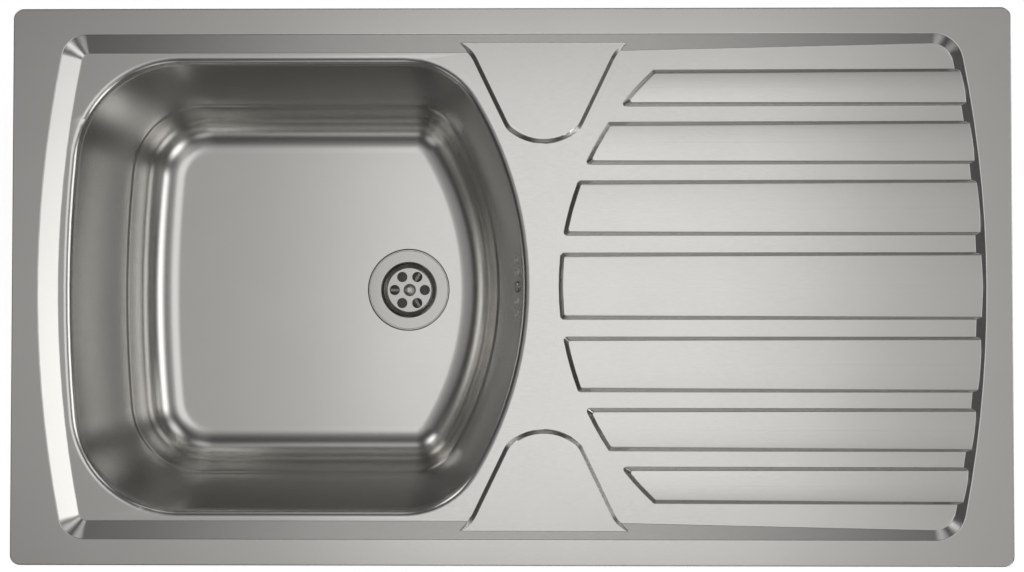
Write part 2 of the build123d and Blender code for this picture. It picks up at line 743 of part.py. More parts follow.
hose_radii = bend_radii(route)
with BuildPart() as overflow_hose:
    with BuildLine() as hose_path:
        FilletPolyline(*route, radius=hose_radii)
    with BuildSketch(housing_end.offset(HOSE_SEAL)):
        Circle(HOSE_RADIUS)
        Circle(HOSE_RADIUS - HOSE_WALL, mode=Mode.SUBTRACT)
    sweep()
    for end in (housing_end, inlet_face):
        with BuildSketch(end.offset(HOSE_SEAL)):
            Circle(HOSE_CUFF_RADIUS)
            Circle(HOSE_RADIUS - HOSE_WALL, mode=Mode.SUBTRACT)
        extrude(amount=HOSE_CUFF)
hose_length = hose_path.wires()[0].length
print("overflow hose length", round(hose_length, 1), "bend radii", [round(r, 1) for r in hose_radii])


# ---- seal under the rim and damping pad under the bowl ------------------------------------

with BuildPart() as rim_seal:
    with BuildSketch():
        RectangleRounded(LENGTH, WIDTH, OUTLINE_CORNER)
        offset(amount=-SEAL_INSET, mode=Mode.REPLACE)
        offset(amount=-SEAL_WIDTH, kind=Kind.INTERSECTION, mode=Mode.SUBTRACT)
    extrude(amount=RIM_HEIGHT - SHEET)

pad_left = bowl_left + PAD_FROM_BOWL_END
pad_right = waste_x - PAD_FROM_WASTE
with BuildPart() as sound_pad:
    with BuildSketch(Plane.XY.offset(floor_z - SHEET)):
        with Locations(((pad_left + pad_right) / 2, 0)):
            RectangleRounded(pad_right - pad_left, PAD_WIDTH, PAD_CORNER)
    extrude(amount=-PAD_THICKNESS)


# ---- fixing clamps: bracket under the rim, hanging screw and claw -------------------------

rim_under = RIM_HEIGHT - SHEET
lug_low = rim_under - BRACKET_LEG
lug_top = lug_low + BRACKET_METAL
flange_out = CLAMP_SCREW_INSET - CUTOUT_INSET - BRACKET_METAL / 2
flange_in = flange_out - BRACKET_FLANGE
with BuildPart() as bracket:
    with BuildSketch(Plane.YZ):
        with BuildLine():
            Polyline(
                (flange_out, rim_under),
                (flange_in, rim_under),
                (flange_in, lug_top),
                (-BRACKET_END, lug_top),
                (-BRACKET_END, lug_low),
                (flange_in + BRACKET_METAL, lug_low),
                (flange_in + BRACKET_METAL, rim_under - BRACKET_METAL),
                (flange_out, rim_under - BRACKET_METAL),
                close=True,
            )
        make_face()
    extrude(amount=BRACKET_WIDTH / 2, both=True)
    outer_bends = bracket.edges().filter_by(Axis.X).filter_by(
        lambda e: e.center().Y > 0
        and (e.center() - Vector(0, flange_in, rim_under)).length < 0.01
        or (e.center() - Vector(0, flange_in + BRACKET_METAL, lug_low)).length < 0.01
    )
    fillet(outer_bends, BRACKET_BEND_RADIUS)
    fillet(bracket.edges().filter_by(Axis.Z).group_by(Axis.Y)[0], BRACKET_END - 1)
    with Locations((0, 0, lug_low)):
        Cylinder(CLAMP_SCREW_RADIUS + SHAFT_CLEARANCE, 4 * BRACKET_METAL, mode=Mode.SUBTRACT)

rivet_low = lug_top + SIDE_CLEARANCE
collar_top = lug_low - SIDE_CLEARANCE
head_top = rivet_low - CLAMP_SCREW_LENGTH
with BuildPart() as clamp_screw:
    with BuildSketch(Plane.XZ):
        with BuildLine():
            Polyline(
                (0, rivet_low + CLAMP_RIVET),
                (CLAMP_RIVET_RADIUS, rivet_low + CLAMP_RIVET),
                (CLAMP_RIVET_RADIUS, rivet_low),
                (CLAMP_SCREW_RADIUS, rivet_low),
                (CLAMP_SCREW_RADIUS, collar_top),
                (CLAMP_COLLAR_RADIUS, collar_top),
                (CLAMP_COLLAR_RADIUS, collar_top - CLAMP_COLLAR),
                (CLAMP_SCREW_RADIUS, collar_top - CLAMP_COLLAR),
                (CLAMP_SCREW_RADIUS, head_top),
                (CLAMP_HEAD_RADIUS, head_top),
                (CLAMP_HEAD_RADIUS, head_top - CLAMP_HEAD / 2),
                (CLAMP_HEAD_RADIUS - CLAMP_HEAD / 2, head_top - CLAMP_HEAD),
                (0, head_top - CLAMP_HEAD),
                close=True,
            )
        make_face()
    revolve(axis=Axis.Z)
    with Locations((0, 0, head_top - CLAMP_HEAD)):
        Box(2 * CLAMP_HEAD_RADIUS, CLAMP_HEAD_RADIUS / 4, CLAMP_HEAD, mode=Mode.SUBTRACT)

arm_low = -CLAW_BITE - CLAW_HUB - CLAW_METAL
with BuildPart() as claw:
    with BuildSketch(Plane.XY.offset(arm_low)):
        with BuildLine():
            Polyline(
                (0, -CLAW_WIDTH / 2),
                (CLAW_REACH, -CLAW_WIDTH / 3),
                (CLAW_REACH, CLAW_WIDTH / 3),
                (0, CLAW_WIDTH / 2),
                close=True,
            )
        make_face()
        Circle(CLAW_HUB_RADIUS)
    extrude(amount=CLAW_METAL)
    with BuildSketch(Plane.XY.offset(arm_low)):
        Circle(CLAW_HUB_RADIUS)
    extrude(amount=CLAW_HUB)
    with BuildSketch(Plane.XZ):
        with BuildLine():
            Polyline(
                (CLAW_REACH - 1.6 * CLAW_TOOTH, arm_low),
                (CLAW_REACH, arm_low),
                (CLAW_REACH, -CLAW_BITE),
                (CLAW_REACH - CLAW_TOOTH / 4, -CLAW_BITE - 1),
                (CLAW_REACH - CLAW_TOOTH / 2, -CLAW_BITE),
                (CLAW_REACH - 3 * CLAW_TOOTH / 4, -CLAW_BITE - 1),
                (CLAW_REACH - CLAW_TOOTH, -CLAW_BITE),
                close=True,
            )
        make_face()
    extrude(amount=CLAW_WIDTH / 3, both=True)
    Cylinder(CLAMP_SCREW_RADIUS + SHAFT_CLEARANCE, 4 * CLAW_BITE, mode=Mode.SUBTRACT)

clamp_line = half_width - CLAMP_SCREW_INSET
end_line = half_length - CLAMP_SCREW_INSET
clamp_spacing = half_length - CLAMP_FROM_END
clamp_places = [Location((x, clamp_line, 0)) for x in (-clamp_spacing, 0, clamp_spacing)]
clamp_places += [Location((end_line, 0, 0), (0, 0, -90))]
clamp_places += [Location((x, -clamp_line, 0), (0, 0, 180)) for x in (clamp_spacing, 0, -clamp_spacing)]
clamp_places += [Location((-end_line, 0, 0), (0, 0, 90))]


# ---- write every piece --------------------------------------------------------------------

os.makedirs("parts", exist_ok=True)
pieces = {
    "deck": deck,
    "bowl": bowl,
    "rim_seal": rim_seal,
    "sound_pad": sound_pad,
    "strainer": strainer,
    "strainer_screw": strainer_screw,
    "strainer_seal": strainer_seal,
    "waste_gasket": waste_gasket,
    "waste_body": waste_body,
    "screw_insert": screw_insert,
    "overflow_gasket": overflow_gasket,
    "overflow_housing": overflow_housing,
    "overflow_screw": overflow_screw,
    "overflow_hose": overflow_hose,
    "hose_seal_top": hose_seal_top,
    "hose_seal_low": hose_seal_low,
    "hose_nut_top": hose_nut_top,
    "hose_nut_low": hose_nut_low,
}
for name, piece in pieces.items():
    piece.part.label = name
    export_step(piece.part, f"parts/{name}.step")
for number, place in enumerate(clamp_places, start=1):
    for name, piece in (("bracket", bracket), ("screw", clamp_screw), ("claw", claw)):
        placed = piece.part.moved(place)
        placed.label = f"clamp_{number}_{name}"
        export_step(placed, f"parts/clamp_{number}_{name}.step")
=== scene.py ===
"""Kitchen sink with drainboard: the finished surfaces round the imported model.

The frame is the model's own, in metres: the origin is the middle of the outline on the worktop
plane, +X runs to the drainer end, +Y to the back edge and +Z up. The pieces' sizes are in mm.
"""

import json
import logging
import math
from dataclasses import dataclass
from enum import Enum

import bmesh
import bpy
from mathutils import Matrix, Vector

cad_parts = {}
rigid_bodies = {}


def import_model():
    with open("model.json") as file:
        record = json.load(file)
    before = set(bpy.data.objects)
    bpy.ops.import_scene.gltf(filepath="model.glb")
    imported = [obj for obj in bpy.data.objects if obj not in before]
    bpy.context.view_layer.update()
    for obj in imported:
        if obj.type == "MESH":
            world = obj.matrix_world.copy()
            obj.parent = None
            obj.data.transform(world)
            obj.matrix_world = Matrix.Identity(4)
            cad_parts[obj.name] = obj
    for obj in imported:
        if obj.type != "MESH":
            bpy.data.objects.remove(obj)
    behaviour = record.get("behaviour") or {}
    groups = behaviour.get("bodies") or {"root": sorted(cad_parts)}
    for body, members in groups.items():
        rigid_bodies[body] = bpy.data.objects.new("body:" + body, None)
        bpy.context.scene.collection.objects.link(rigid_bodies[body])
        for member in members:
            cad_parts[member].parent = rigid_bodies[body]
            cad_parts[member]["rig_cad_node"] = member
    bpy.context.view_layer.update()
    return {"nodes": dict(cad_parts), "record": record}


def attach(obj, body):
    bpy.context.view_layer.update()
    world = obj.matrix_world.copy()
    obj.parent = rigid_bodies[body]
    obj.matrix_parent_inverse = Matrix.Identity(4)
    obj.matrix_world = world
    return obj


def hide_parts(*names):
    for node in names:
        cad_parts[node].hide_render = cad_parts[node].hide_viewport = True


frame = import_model()

Piece = bpy.types.Object
Tree = bpy.types.NodeTree
Socket = bpy.types.NodeSocket
Profile = list[tuple[float, float]]
MM = 0.001
log = logging.getLogger("sink")

# Sizes that several pieces share, in mm.
SHEET = 0.8
DRAFT_DEGREES = 13.0
SEAM_Z = -13.0
FLOOR_Z = -146.5
MOUTH_RIGHT = 9.0
WASTE_X = -91.0
RECESS_DEPTH = 2.0
WASTE_BORE = 27.0
SLOT_OFFSETS = (-21.7, -11.7, 11.7, 21.7)


# ---- small tools ----


def linear(hex_colour: str) -> tuple[float, float, float, float]:
    """Turns an sRGB hex colour to a linear RGBA one.

    Args:
        hex_colour: six hex digits after a hash.

    Returns:
        Linear red, green and blue, and an alpha of 1.
    """
    parts = [int(hex_colour[i : i + 2], 16) / 255 for i in (1, 3, 5)]
    red, green, blue = (p / 12.92 if p <= 0.04045 else ((p + 0.055) / 1.055) ** 2.4 for p in parts)
    return red, green, blue, 1.0


def add_node(tree: Tree, kind: str, inputs: dict | None = None, **settings) -> bpy.types.Node:
    """Adds a node with its settings and links.

    Args:
        tree: the node tree.
        kind: the node's type name, after ShaderNode.
        inputs: values or output sockets for its inputs, by name or number.
        **settings: the node's own attributes.

    Returns:
        The new node.
    """
    node = tree.nodes.new(f"ShaderNode{kind}")
    for name, value in settings.items():
        setattr(node, name, value)
    for key, value in (inputs or {}).items():
        if isinstance(value, Socket):
            tree.links.new(value, node.inputs[key])
        else:
            node.inputs[key].default_value = value
    return node


def added(name: str, data: bpy.types.ID) -> Piece:
    """Adds an object to the scene.

    Args:
        name: the object's name.
        data: its mesh, curve, lamp or camera.

    Returns:
        The object.
    """
    made = bpy.data.objects.new(name, data)
    bpy.context.scene.collection.objects.link(made)
    return made


def select_only(piece: Piece) -> None:
    """Makes one piece the only selected and the active one.

    Args:
        piece: the piece to work on.
    """
    if bpy.context.object and bpy.context.object.mode != "OBJECT":
        bpy.ops.object.mode_set(mode="OBJECT")
    for other in bpy.context.selected_objects:
        other.select_set(False)
    piece.select_set(True)
    bpy.context.view_layer.objects.active = piece


def edit_all(piece: Piece) -> None:
    """Opens a piece in edit mode with all of it selected.

    Args:
        piece: the piece.
    """
    select_only(piece)
    bpy.ops.object.mode_set(mode="EDIT")
    bpy.ops.mesh.select_all(action="SELECT")


def apply_modifier(piece: Piece, kind: str, **settings) -> None:
    """Adds one modifier to a piece and applies it.

    Args:
        piece: the piece.
        kind: the modifier's type.
        **settings: its settings.
    """
    select_only(piece)
    modifier = piece.modifiers.new(kind.title(), kind)
    for name, value in settings.items():
        setattr(modifier, name, value)
    bpy.ops.object.modifier_apply(modifier=modifier.name)


def smooth_shading(piece: Piece, degrees: float, weighted: bool = True) -> None:
    """Shades a piece smooth, with sharp edges past an angle and flats kept flat.

    Args:
        piece: the piece.
        degrees: the angle between faces past which an edge stays sharp.
        weighted: whether large faces lead the normals, so that flats beside rounds stay flat.
    """
    select_only(piece)
    bpy.ops.object.shade_smooth_by_angle(angle=math.radians(degrees))
    if weighted:
        apply_modifier(piece, "WEIGHTED_NORMAL", keep_sharp=True, weight=80)


def round_edges(piece: Piece, width: float, degrees: float, segments: int = 3, **settings) -> None:
    """Rounds a piece's sharp edges.

    Args:
        piece: the piece.
        width: width of the rounding in mm.
        degrees: the angle between faces past which an edge is rounded.
        segments: faces across the rounding.
        **settings: the bevel's other settings.
    """
    limit = {"limit_method": "ANGLE", "angle_limit": math.radians(degrees)}
    apply_modifier(piece, "BEVEL", width=width * MM, segments=segments, **limit, **settings)


def direction(tilt: float, azimuth: float) -> Vector:
    """Finds the direction that leans from straight up by a tilt, towards an azimuth from +X, in degrees."""
    tilt, azimuth = math.radians(tilt), math.radians(azimuth)
    return Vector((math.sin(tilt) * math.cos(azimuth), math.sin(tilt) * math.sin(azimuth), math.cos(tilt)))


def facing(out: Vector, across: Vector) -> Matrix:
    """Makes the turn that points Z along a unit vector and X as near as it can along another vector."""
    across = (across - out * across.dot(out)).normalized()
    return Matrix((across, out.cross(across), out)).transposed().to_4x4()


# ---- finishes ----


class Slot(Enum):
    """The record's material slots."""

    STEEL = "stainless_steel"
    POLISHED = "polished_steel"
    ZINC = "zinc_plated_steel"
    PLASTIC = "white_plastic"
    HOSE = "hose_plastic"
    RUBBER = "rubber"
    FOAM = "sealing_foam"
    PAD = "damping_pad"
    BRASS = "brass"


class Make(Enum):
    """How a surface is made: its grain's and mottle's noise detail and roughness, and its gloss's spread."""

    BRUSHED = (3.0, 0.6, 4.0, 0.55, 0.03)
    MOULDED = (2.0, 0.5, 5.0, 0.5, 0.05)


@dataclass(frozen=True)
class Finish:
    """Two close tones in a slow mottle, which stops large faces from looking even, under a fine grain.

    A brushed metal's grain is drawn out along X, which spreads each reflection into a soft band.
    """

    name: str
    slot: Slot
    make: Make
    tone: str
    shade: str
    roughness: float
    grain_mm: float
    grain_length_mm: float
    grain_depth_mm: float
    mottle_mm: float = 18.0
    ior: float = 1.49

    def material(self) -> bpy.types.Material:
        """Builds the node material.

        Returns:
            The material.
        """
        grain_detail, grain_rough, mottle_detail, mottle_rough, spread = self.make.value
        made = bpy.data.materials.new(self.name)
        made.use_nodes = True
        tree = made.node_tree
        shader = tree.nodes["Principled BSDF"]
        if self.make is Make.BRUSHED:
            shader.inputs["Metallic"].default_value = 1.0
        else:
            shader.inputs["IOR"].default_value = self.ior
        place = add_node(tree, "TexCoord").outputs["Object"]
        noise = {"Scale": 1 / (self.mottle_mm * MM), "Detail": mottle_detail, "Roughness": mottle_rough}
        mottle = add_node(tree, "TexNoise", {"Vector": place, **noise}).outputs["Fac"]
        tones = {"Factor": mottle, "A": linear(self.tone), "B": linear(self.shade)}
        colour = add_node(tree, "Mix", tones, data_type="RGBA")
        tree.links.new(colour.outputs["Result"], shader.inputs["Base Color"])
        stretch = [1 / (size * MM) for size in (self.grain_length_mm, self.grain_mm, self.grain_mm)]
        along = add_node(tree, "Mapping", {"Vector": place, "Scale": stretch}).outputs[0]
        noise = {"Scale": 1.0, "Detail": grain_detail, "Roughness": grain_rough}
        grain = add_node(tree, "TexNoise", {"Vector": along, **noise}).outputs["Fac"]
        limits = {"To Min": self.roughness - spread, "To Max": self.roughness + spread}
        rough = add_node(tree, "MapRange", {"Value": grain, "From Min": 0.3, "From Max": 0.7, **limits})
        tree.links.new(rough.outputs[0], shader.inputs["Roughness"])
        relief = {"Height": grain, "Distance": self.grain_depth_mm * MM, "Strength": 1.0}
        bump = add_node(tree, "Bump", relief)
        tree.links.new(bump.outputs[0], shader.inputs["Normal"])
        return made


# The numbers are the roughness and the grain's width, length and depth, and on metals the mottle.
# Real grain on satin sheet is under 0.05 mm wide, too fine to show, so it is drawn coarser.
BRUSHED, MOULDED = Make.BRUSHED, Make.MOULDED
FINISHES = (
    # Satin sheet, rolled and dulled: soft streaked reflections and no mirror image.
    Finish("satin_stainless_steel", Slot.STEEL, BRUSHED, "#D6D5D1", "#CFCECA", 0.24, 0.22, 6.0, 0.00025, 70.0),
    # Drawn and polished: darker and sharper reflections than the sheet's.
    Finish(
        "polished_stainless_steel", Slot.POLISHED, BRUSHED, "#B9B8B4", "#B0AFAB", 0.17, 0.4, 2.0, 0.0006, 70.0
    ),
    # Barrel-plated zinc: a cool, cloudy grey bloom.
    Finish("zinc_plated_steel", Slot.ZINC, BRUSHED, "#C3C6C9", "#B4B9BF", 0.36, 0.8, 1.6, 0.004, 9.0),
    # Turned brass: warm yellow with fine tool marks.
    Finish("machined_brass", Slot.BRASS, BRUSHED, "#D9B36A", "#CFA65C", 0.28, 0.3, 1.0, 0.002, 12.0),
    # Injection-moulded plastic: clean white with a soft sheen.
    Finish("moulded_polypropylene", Slot.PLASTIC, MOULDED, "#E9E9E5", "#E2E2DD", 0.42, 0.5, 0.5, 0.006),
    # Blow-moulded plastic: greyer and duller than the injected pieces.
    Finish("corrugated_polypropylene", Slot.HOSE, MOULDED, "#DCDCD7", "#D3D3CD", 0.45, 0.6, 0.6, 0.006),
    # Pressed rubber: near black and matt.
    Finish("moulded_rubber", Slot.RUBBER, MOULDED, "#26262A", "#1D1D1F", 0.6, 0.3, 0.3, 0.01, ior=1.52),
    # Closed-cell foam: charcoal with a speckle of cells and no gloss.
    Finish("closed_cell_foam", Slot.FOAM, MOULDED, "#35353A", "#29292C", 0.85, 0.7, 0.7, 0.08, ior=1.4),
    # Rolled bitumen: a rough brown-black that takes up the light.
    Finish("bitumen_damping_sheet", Slot.PAD, MOULDED, "#3B3A38", "#2E2D2B", 0.72, 1.2, 1.2, 0.06, ior=1.5),
)


class Finishes:
    """Every finish as one shared material, by slot."""

    def __init__(self) -> None:
        """Builds the materials."""
        self.by_slot = {finish.slot: finish.material() for finish in FINISHES}

    def dress(self, piece: Piece, slot: Slot) -> None:
        """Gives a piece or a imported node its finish.

        Args:
            piece: the piece.
            slot: the finish's slot.
        """
        piece.data.materials.clear()
        piece.data.materials.append(self.by_slot[slot])


# ---- shapes ----


def merged_copy(node: str, name: str) -> Piece:
    """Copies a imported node's mesh to a new piece whose triangles share their corners.

    Args:
        node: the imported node.
        name: the new piece's name.

    Returns:
        The new piece.
    """
    piece = added(name, frame["nodes"][node].data.copy())
    select_only(piece)
    if piece.data.has_custom_normals:
        bpy.ops.mesh.customdata_custom_splitnormals_clear()
    edit_all(piece)
    bpy.ops.mesh.remove_doubles(threshold=0.001 * MM)
    bpy.ops.mesh.tris_convert_to_quads(face_threshold=0.01, shape_threshold=0.5)
    bpy.ops.object.mode_set(mode="OBJECT")
    return piece


def softened(node: str, name: str, edge: float, degrees: float) -> Piece:
    """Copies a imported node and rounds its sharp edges.

    Args:
        node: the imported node.
        name: the new piece's name.
        edge: width of the rounding in mm.
        degrees: the angle between faces past which an edge is rounded.

    Returns:
        The piece.
    """
    piece = merged_copy(node, name)
    round_edges(piece, edge, degrees, use_clamp_overlap=True, miter_outer="MITER_ARC")
    return piece


def rounded(corners: list[tuple[float, float, float]], steps: int = 5) -> Profile:
    """Rounds the corners of a profile.

    Args:
        corners: radius from the axis, height and rounding of each corner in mm, in order.
        steps: steps round each corner.

    Returns:
        Pairs of radius and height.
    """
    points = []
    for index, (radius, height, rounding) in enumerate(corners):
        if not rounding:
            points.append((radius, height))
            continue
        here = Vector((radius, height))
        before = Vector(corners[index - 1][:2]) - here
        after = Vector(corners[(index + 1) % len(corners)][:2]) - here
        half = before.angle(after) / 2
        reach = min(rounding / math.tan(half), 0.49 * before.length, 0.49 * after.length)
        start, end = here + before.normalized() * reach, here + after.normalized() * reach
        for step in range(steps + 1):
            share = step / steps
            bend = start * (1 - share) ** 2 + here * 2 * share * (1 - share) + end * share**2
            points.append((bend.x, bend.y))
    return points


def new_piece(name: str, points: list, edges: list | tuple = (), faces: list | tuple = ()) -> Piece:
    """Adds a mesh to the scene from points in mm.

    Args:
        name: the piece's name.
        points: the points.
        edges: pairs of point numbers.
        faces: loops of point numbers.

    Returns:
        The piece.
    """
    mesh = bpy.data.meshes.new(name)
    mesh.from_pydata([Vector(p) * MM for p in points], edges, faces)
    return added(name, mesh)


def close_up(piece: Piece) -> None:
    """Merges a piece's doubled corners and turns its faces outwards.

    Args:
        piece: the piece.
    """
    edit_all(piece)
    bpy.ops.mesh.remove_doubles(threshold=0.002 * MM)
    bpy.ops.mesh.normals_make_consistent(inside=False)
    bpy.ops.object.mode_set(mode="OBJECT")


def turned(name: str, profile: Profile, steps: int = 72) -> Piece:
    """Spins a profile round the Z axis.

    Args:
        name: the piece's name.
        profile: pairs of radius and height in mm. It is closed, or starts and ends on the axis.
        steps: steps round the axis.

    Returns:
        The piece.
    """
    count = len(profile)
    on_axis = profile[0][0] == 0 and profile[-1][0] == 0
    edges = [(n, (n + 1) % count) for n in range(count - 1 if on_axis else count)]
    piece = new_piece(name, [(radius, 0, height) for radius, height in profile], edges)
    edit_all(piece)
    bpy.ops.mesh.spin(steps=steps, angle=2 * math.pi, center=(0, 0, 0), axis=(0, 0, 1))
    bpy.ops.object.mode_set(mode="OBJECT")
    close_up(piece)
    return piece


def joined(pieces: list[Piece]) -> Piece:
    """Joins pieces into the first of them.

    Args:
        pieces: the pieces.

    Returns:
        The first piece.
    """
    select_only(pieces[0])
    for piece in pieces[1:]:
        piece.select_set(True)
    bpy.ops.object.join()
    return pieces[0]


def cut(piece: Piece, cutters: list[Piece]) -> None:
    """Cuts cutters out of a piece, one by one, and removes them.

    Args:
        piece: the piece.
        cutters: closed meshes.
    """
    for cutter in cutters:
        apply_modifier(piece, "BOOLEAN", object=cutter, operation="DIFFERENCE", solver="EXACT")
        bpy.data.objects.remove(cutter)


def moved(piece: Piece, matrix: Matrix) -> Piece:
    """Moves a piece's mesh, so that its object stays at the origin.

    Args:
        piece: the piece.
        matrix: where its mesh goes, in metres.

    Returns:
        The piece.
    """
    piece.data.transform(matrix)
    piece.data.update()
    return piece


def shift(x: float, y: float, z: float) -> Matrix:
    """Makes a plain move from three distances in mm."""
    return Matrix.Translation((x * MM, y * MM, z * MM))


def bar(radius: float, low: float, high: float, sides: int) -> Piece:
    """Adds a round cutter on the Z axis, between two heights in mm, with its number of sides."""
    bpy.ops.mesh.primitive_cylinder_add(vertices=sides, radius=radius * MM, depth=(high - low) * MM)
    return moved(bpy.context.object, shift(0, 0, (low + high) / 2))


def slot_bar(size: tuple[float, float], reach: tuple[float, float], y: float, z: float) -> Piece:
    """Makes an upright round-ended bar that lies along X. Sizes in mm.

    Args:
        size: width and height of the slot shape.
        reach: lowest and highest X.
        y: the bar's place along Y.
        z: the bar's height.

    Returns:
        The bar.
    """
    width, height = size
    bpy.ops.mesh.primitive_cylinder_add(
        vertices=40,
        radius=width / 2 * MM,
        depth=(reach[1] - reach[0]) * MM,
        location=((reach[0] + reach[1]) / 2 * MM, y * MM, z * MM),
        rotation=(0, math.pi / 2, 0),
    )
    piece = bpy.context.object
    bpy.ops.object.transform_apply()
    for vertex in piece.data.vertices:
        lift = vertex.co.z - z * MM
        if abs(lift) > 1e-7:
            vertex.co.z += math.copysign((height - width) / 2 * MM, lift)
    return piece


def threaded(name: str, radius: float, pitch: float, span: tuple[float, float], steps: int) -> Piece:
    """Makes a rod with a screw thread on the Z axis. Sizes in mm.

    Args:
        name: the piece's name.
        radius: the thread's outer radius.
        pitch: height of one turn.
        span: heights of the rod's lower and upper end.
        steps: steps in a turn.

    Returns:
        The rod, closed at its ends.
    """
    low, high = span
    core = radius - 0.6 * pitch
    tooth = ((core, 0.0), (core, 0.12), (radius, 0.46), (radius, 0.54), (core, 0.88), (core, 1.0))
    points = [(reach, 0, low + (share - 1) * pitch) for reach, share in tooth]
    piece = new_piece(name, points, [(n, n + 1) for n in range(len(points) - 1)])
    turns = math.ceil((high - low) / pitch) + 2
    round_steps = {"steps": steps, "render_steps": steps, "use_smooth_shade": False}
    apply_modifier(piece, "SCREW", axis="Z", screw_offset=pitch * MM, iterations=turns, **round_steps)
    close_up(piece)
    for height, below in ((low, True), (high, False)):
        edit_all(piece)
        bpy.ops.mesh.bisect(
            plane_co=(0, 0, height * MM),
            plane_no=(0, 0, 1),
            use_fill=True,
            clear_inner=below,
            clear_outer=not below,
        )
    bpy.ops.object.mode_set(mode="OBJECT")
    close_up(piece)
    return piece


@dataclass(frozen=True)
class PanScrew:
    """A pan-head screw with a thread and a cross recess, its head up and its seat at height 0."""

    radius: float
    length: float
    head_radius: float
    head: float
    pitch: float

    def build(self, name: str) -> Piece:
        """Makes the screw.

        Args:
            name: the piece's name.

        Returns:
            The screw.
        """
        reach, top = self.head_radius, self.head
        profile = [
            (0.0, -0.01, 0),
            (reach, -0.01, 0.25),
            (reach, 0.35 * top, 0.5),
            (0.86 * reach, 0.8 * top, 1.6),
            (0.45 * reach, top, 1.6),
            (0.0, top, 0),
        ]
        head = turned(name, rounded(profile), 64)
        cutters = []
        for quarter in (0, 1):
            bpy.ops.mesh.primitive_cube_add(size=2)
            blade = bpy.context.object
            for vertex in blade.data.vertices:
                lift = vertex.co.z
                taper = 1.0 if lift > 0 else 0.5
                along, across = 0.62 * taper * reach, 0.13 * reach
                vertex.co = Vector((along * vertex.co.x, across * vertex.co.y, top * lift))
            turn = Matrix.Rotation(math.pi / 2 * quarter, 4, "Z")
            cutters.append(moved(blade, shift(0, 0, 1.32 * top) @ turn @ Matrix.Scale(MM, 4)))
        cut(head, cutters)
        round_edges(head, 0.12, 50, 2)
        return joined([head, threaded(f"{name}_shank", self.radius, self.pitch, (-self.length, 0.0), 28)])


# ---- deck and bowl ----


@dataclass
class Assembly:
    """A group of pieces that are made and dressed together."""

    finishes: Finishes

    def settle(self, piece: Piece, slot: Slot, node: str, crease: float = 0.0, body: str = "sink") -> None:
        """Shades and dresses a piece and puts it in its node's stead.

        Args:
            piece: the piece, in its place.
            slot: its finish.
            node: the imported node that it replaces.
            crease: the angle in degrees past which its edges stay sharp, or 0 where it is shaded already.
            body: the body that it moves with.
        """
        if crease:
            smooth_shading(piece, crease)
        self.finishes.dress(piece, slot)
        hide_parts(node)
        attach(piece, body)
        log.info("%s in place of %s", piece.name, node)


@dataclass
class Deck(Assembly):
    """The pressed deck sheet: rim, sloped band, ribbed drainer, tap ledges and bowl lip."""

    crease_degrees: float = 17.0

    def build(self) -> None:
        """Makes the smooth sheet."""
        self.settle(merged_copy("deck", "deck_sheet"), Slot.STEEL, "deck", self.crease_degrees)


@dataclass(frozen=True)
class BowlPlan:
    """The bowl's mouth in mm: two bowed ends, two straight sides and four round corners."""

    left: float = -346.0
    right: float = MOUTH_RIGHT
    half_width: float = 175.0
    bow_left: float = 1100.0
    bow_right: float = 281.0
    corner_left: float = 80.0
    corner_right: float = 62.0
    bow_steps: int = 14
    corner_steps: int = 26
    side_steps: int = 24

    def quarter(self, side: int) -> list[Vector]:
        """Outline of the back half's one end, from the middle of the bow to the straight side.

        Args:
            side: 1 for the right end and -1 for the left one.

        Returns:
            Points in mm, at height 0.
        """
        bow = self.bow_right if side > 0 else self.bow_left
        corner = self.corner_right if side > 0 else self.corner_left
        bow_x = self.right - bow if side > 0 else self.left + bow
        rise = self.half_width - corner
        run = math.sqrt((bow - corner) ** 2 - rise**2)
        turn = math.atan2(rise, run)
        points = []
        for step in range(self.bow_steps):
            angle = turn * step / self.bow_steps
            points.append(Vector((bow_x + side * bow * math.cos(angle), bow * math.sin(angle), 0)))
        for step in range(self.corner_steps + 1):
            angle = turn + (math.pi / 2 - turn) * step / self.corner_steps
            x = bow_x + side * (run + corner * math.cos(angle))
            points.append(Vector((x, rise + corner * math.sin(angle), 0)))
        return points

    def outline(self) -> list[Vector]:
        """The whole outline, turning left, from the middle of the right end.

        Returns:
            Points in mm, at height 0.
        """
        right, left = self.quarter(1), self.quarter(-1)
        straight = [right[-1].lerp(left[-1], step / self.side_steps) for step in range(1, self.side_steps)]
        back = right + straight + left[::-1]
        return back + [Vector((p.x, -p.y, 0)) for p in back[-2:0:-1]]


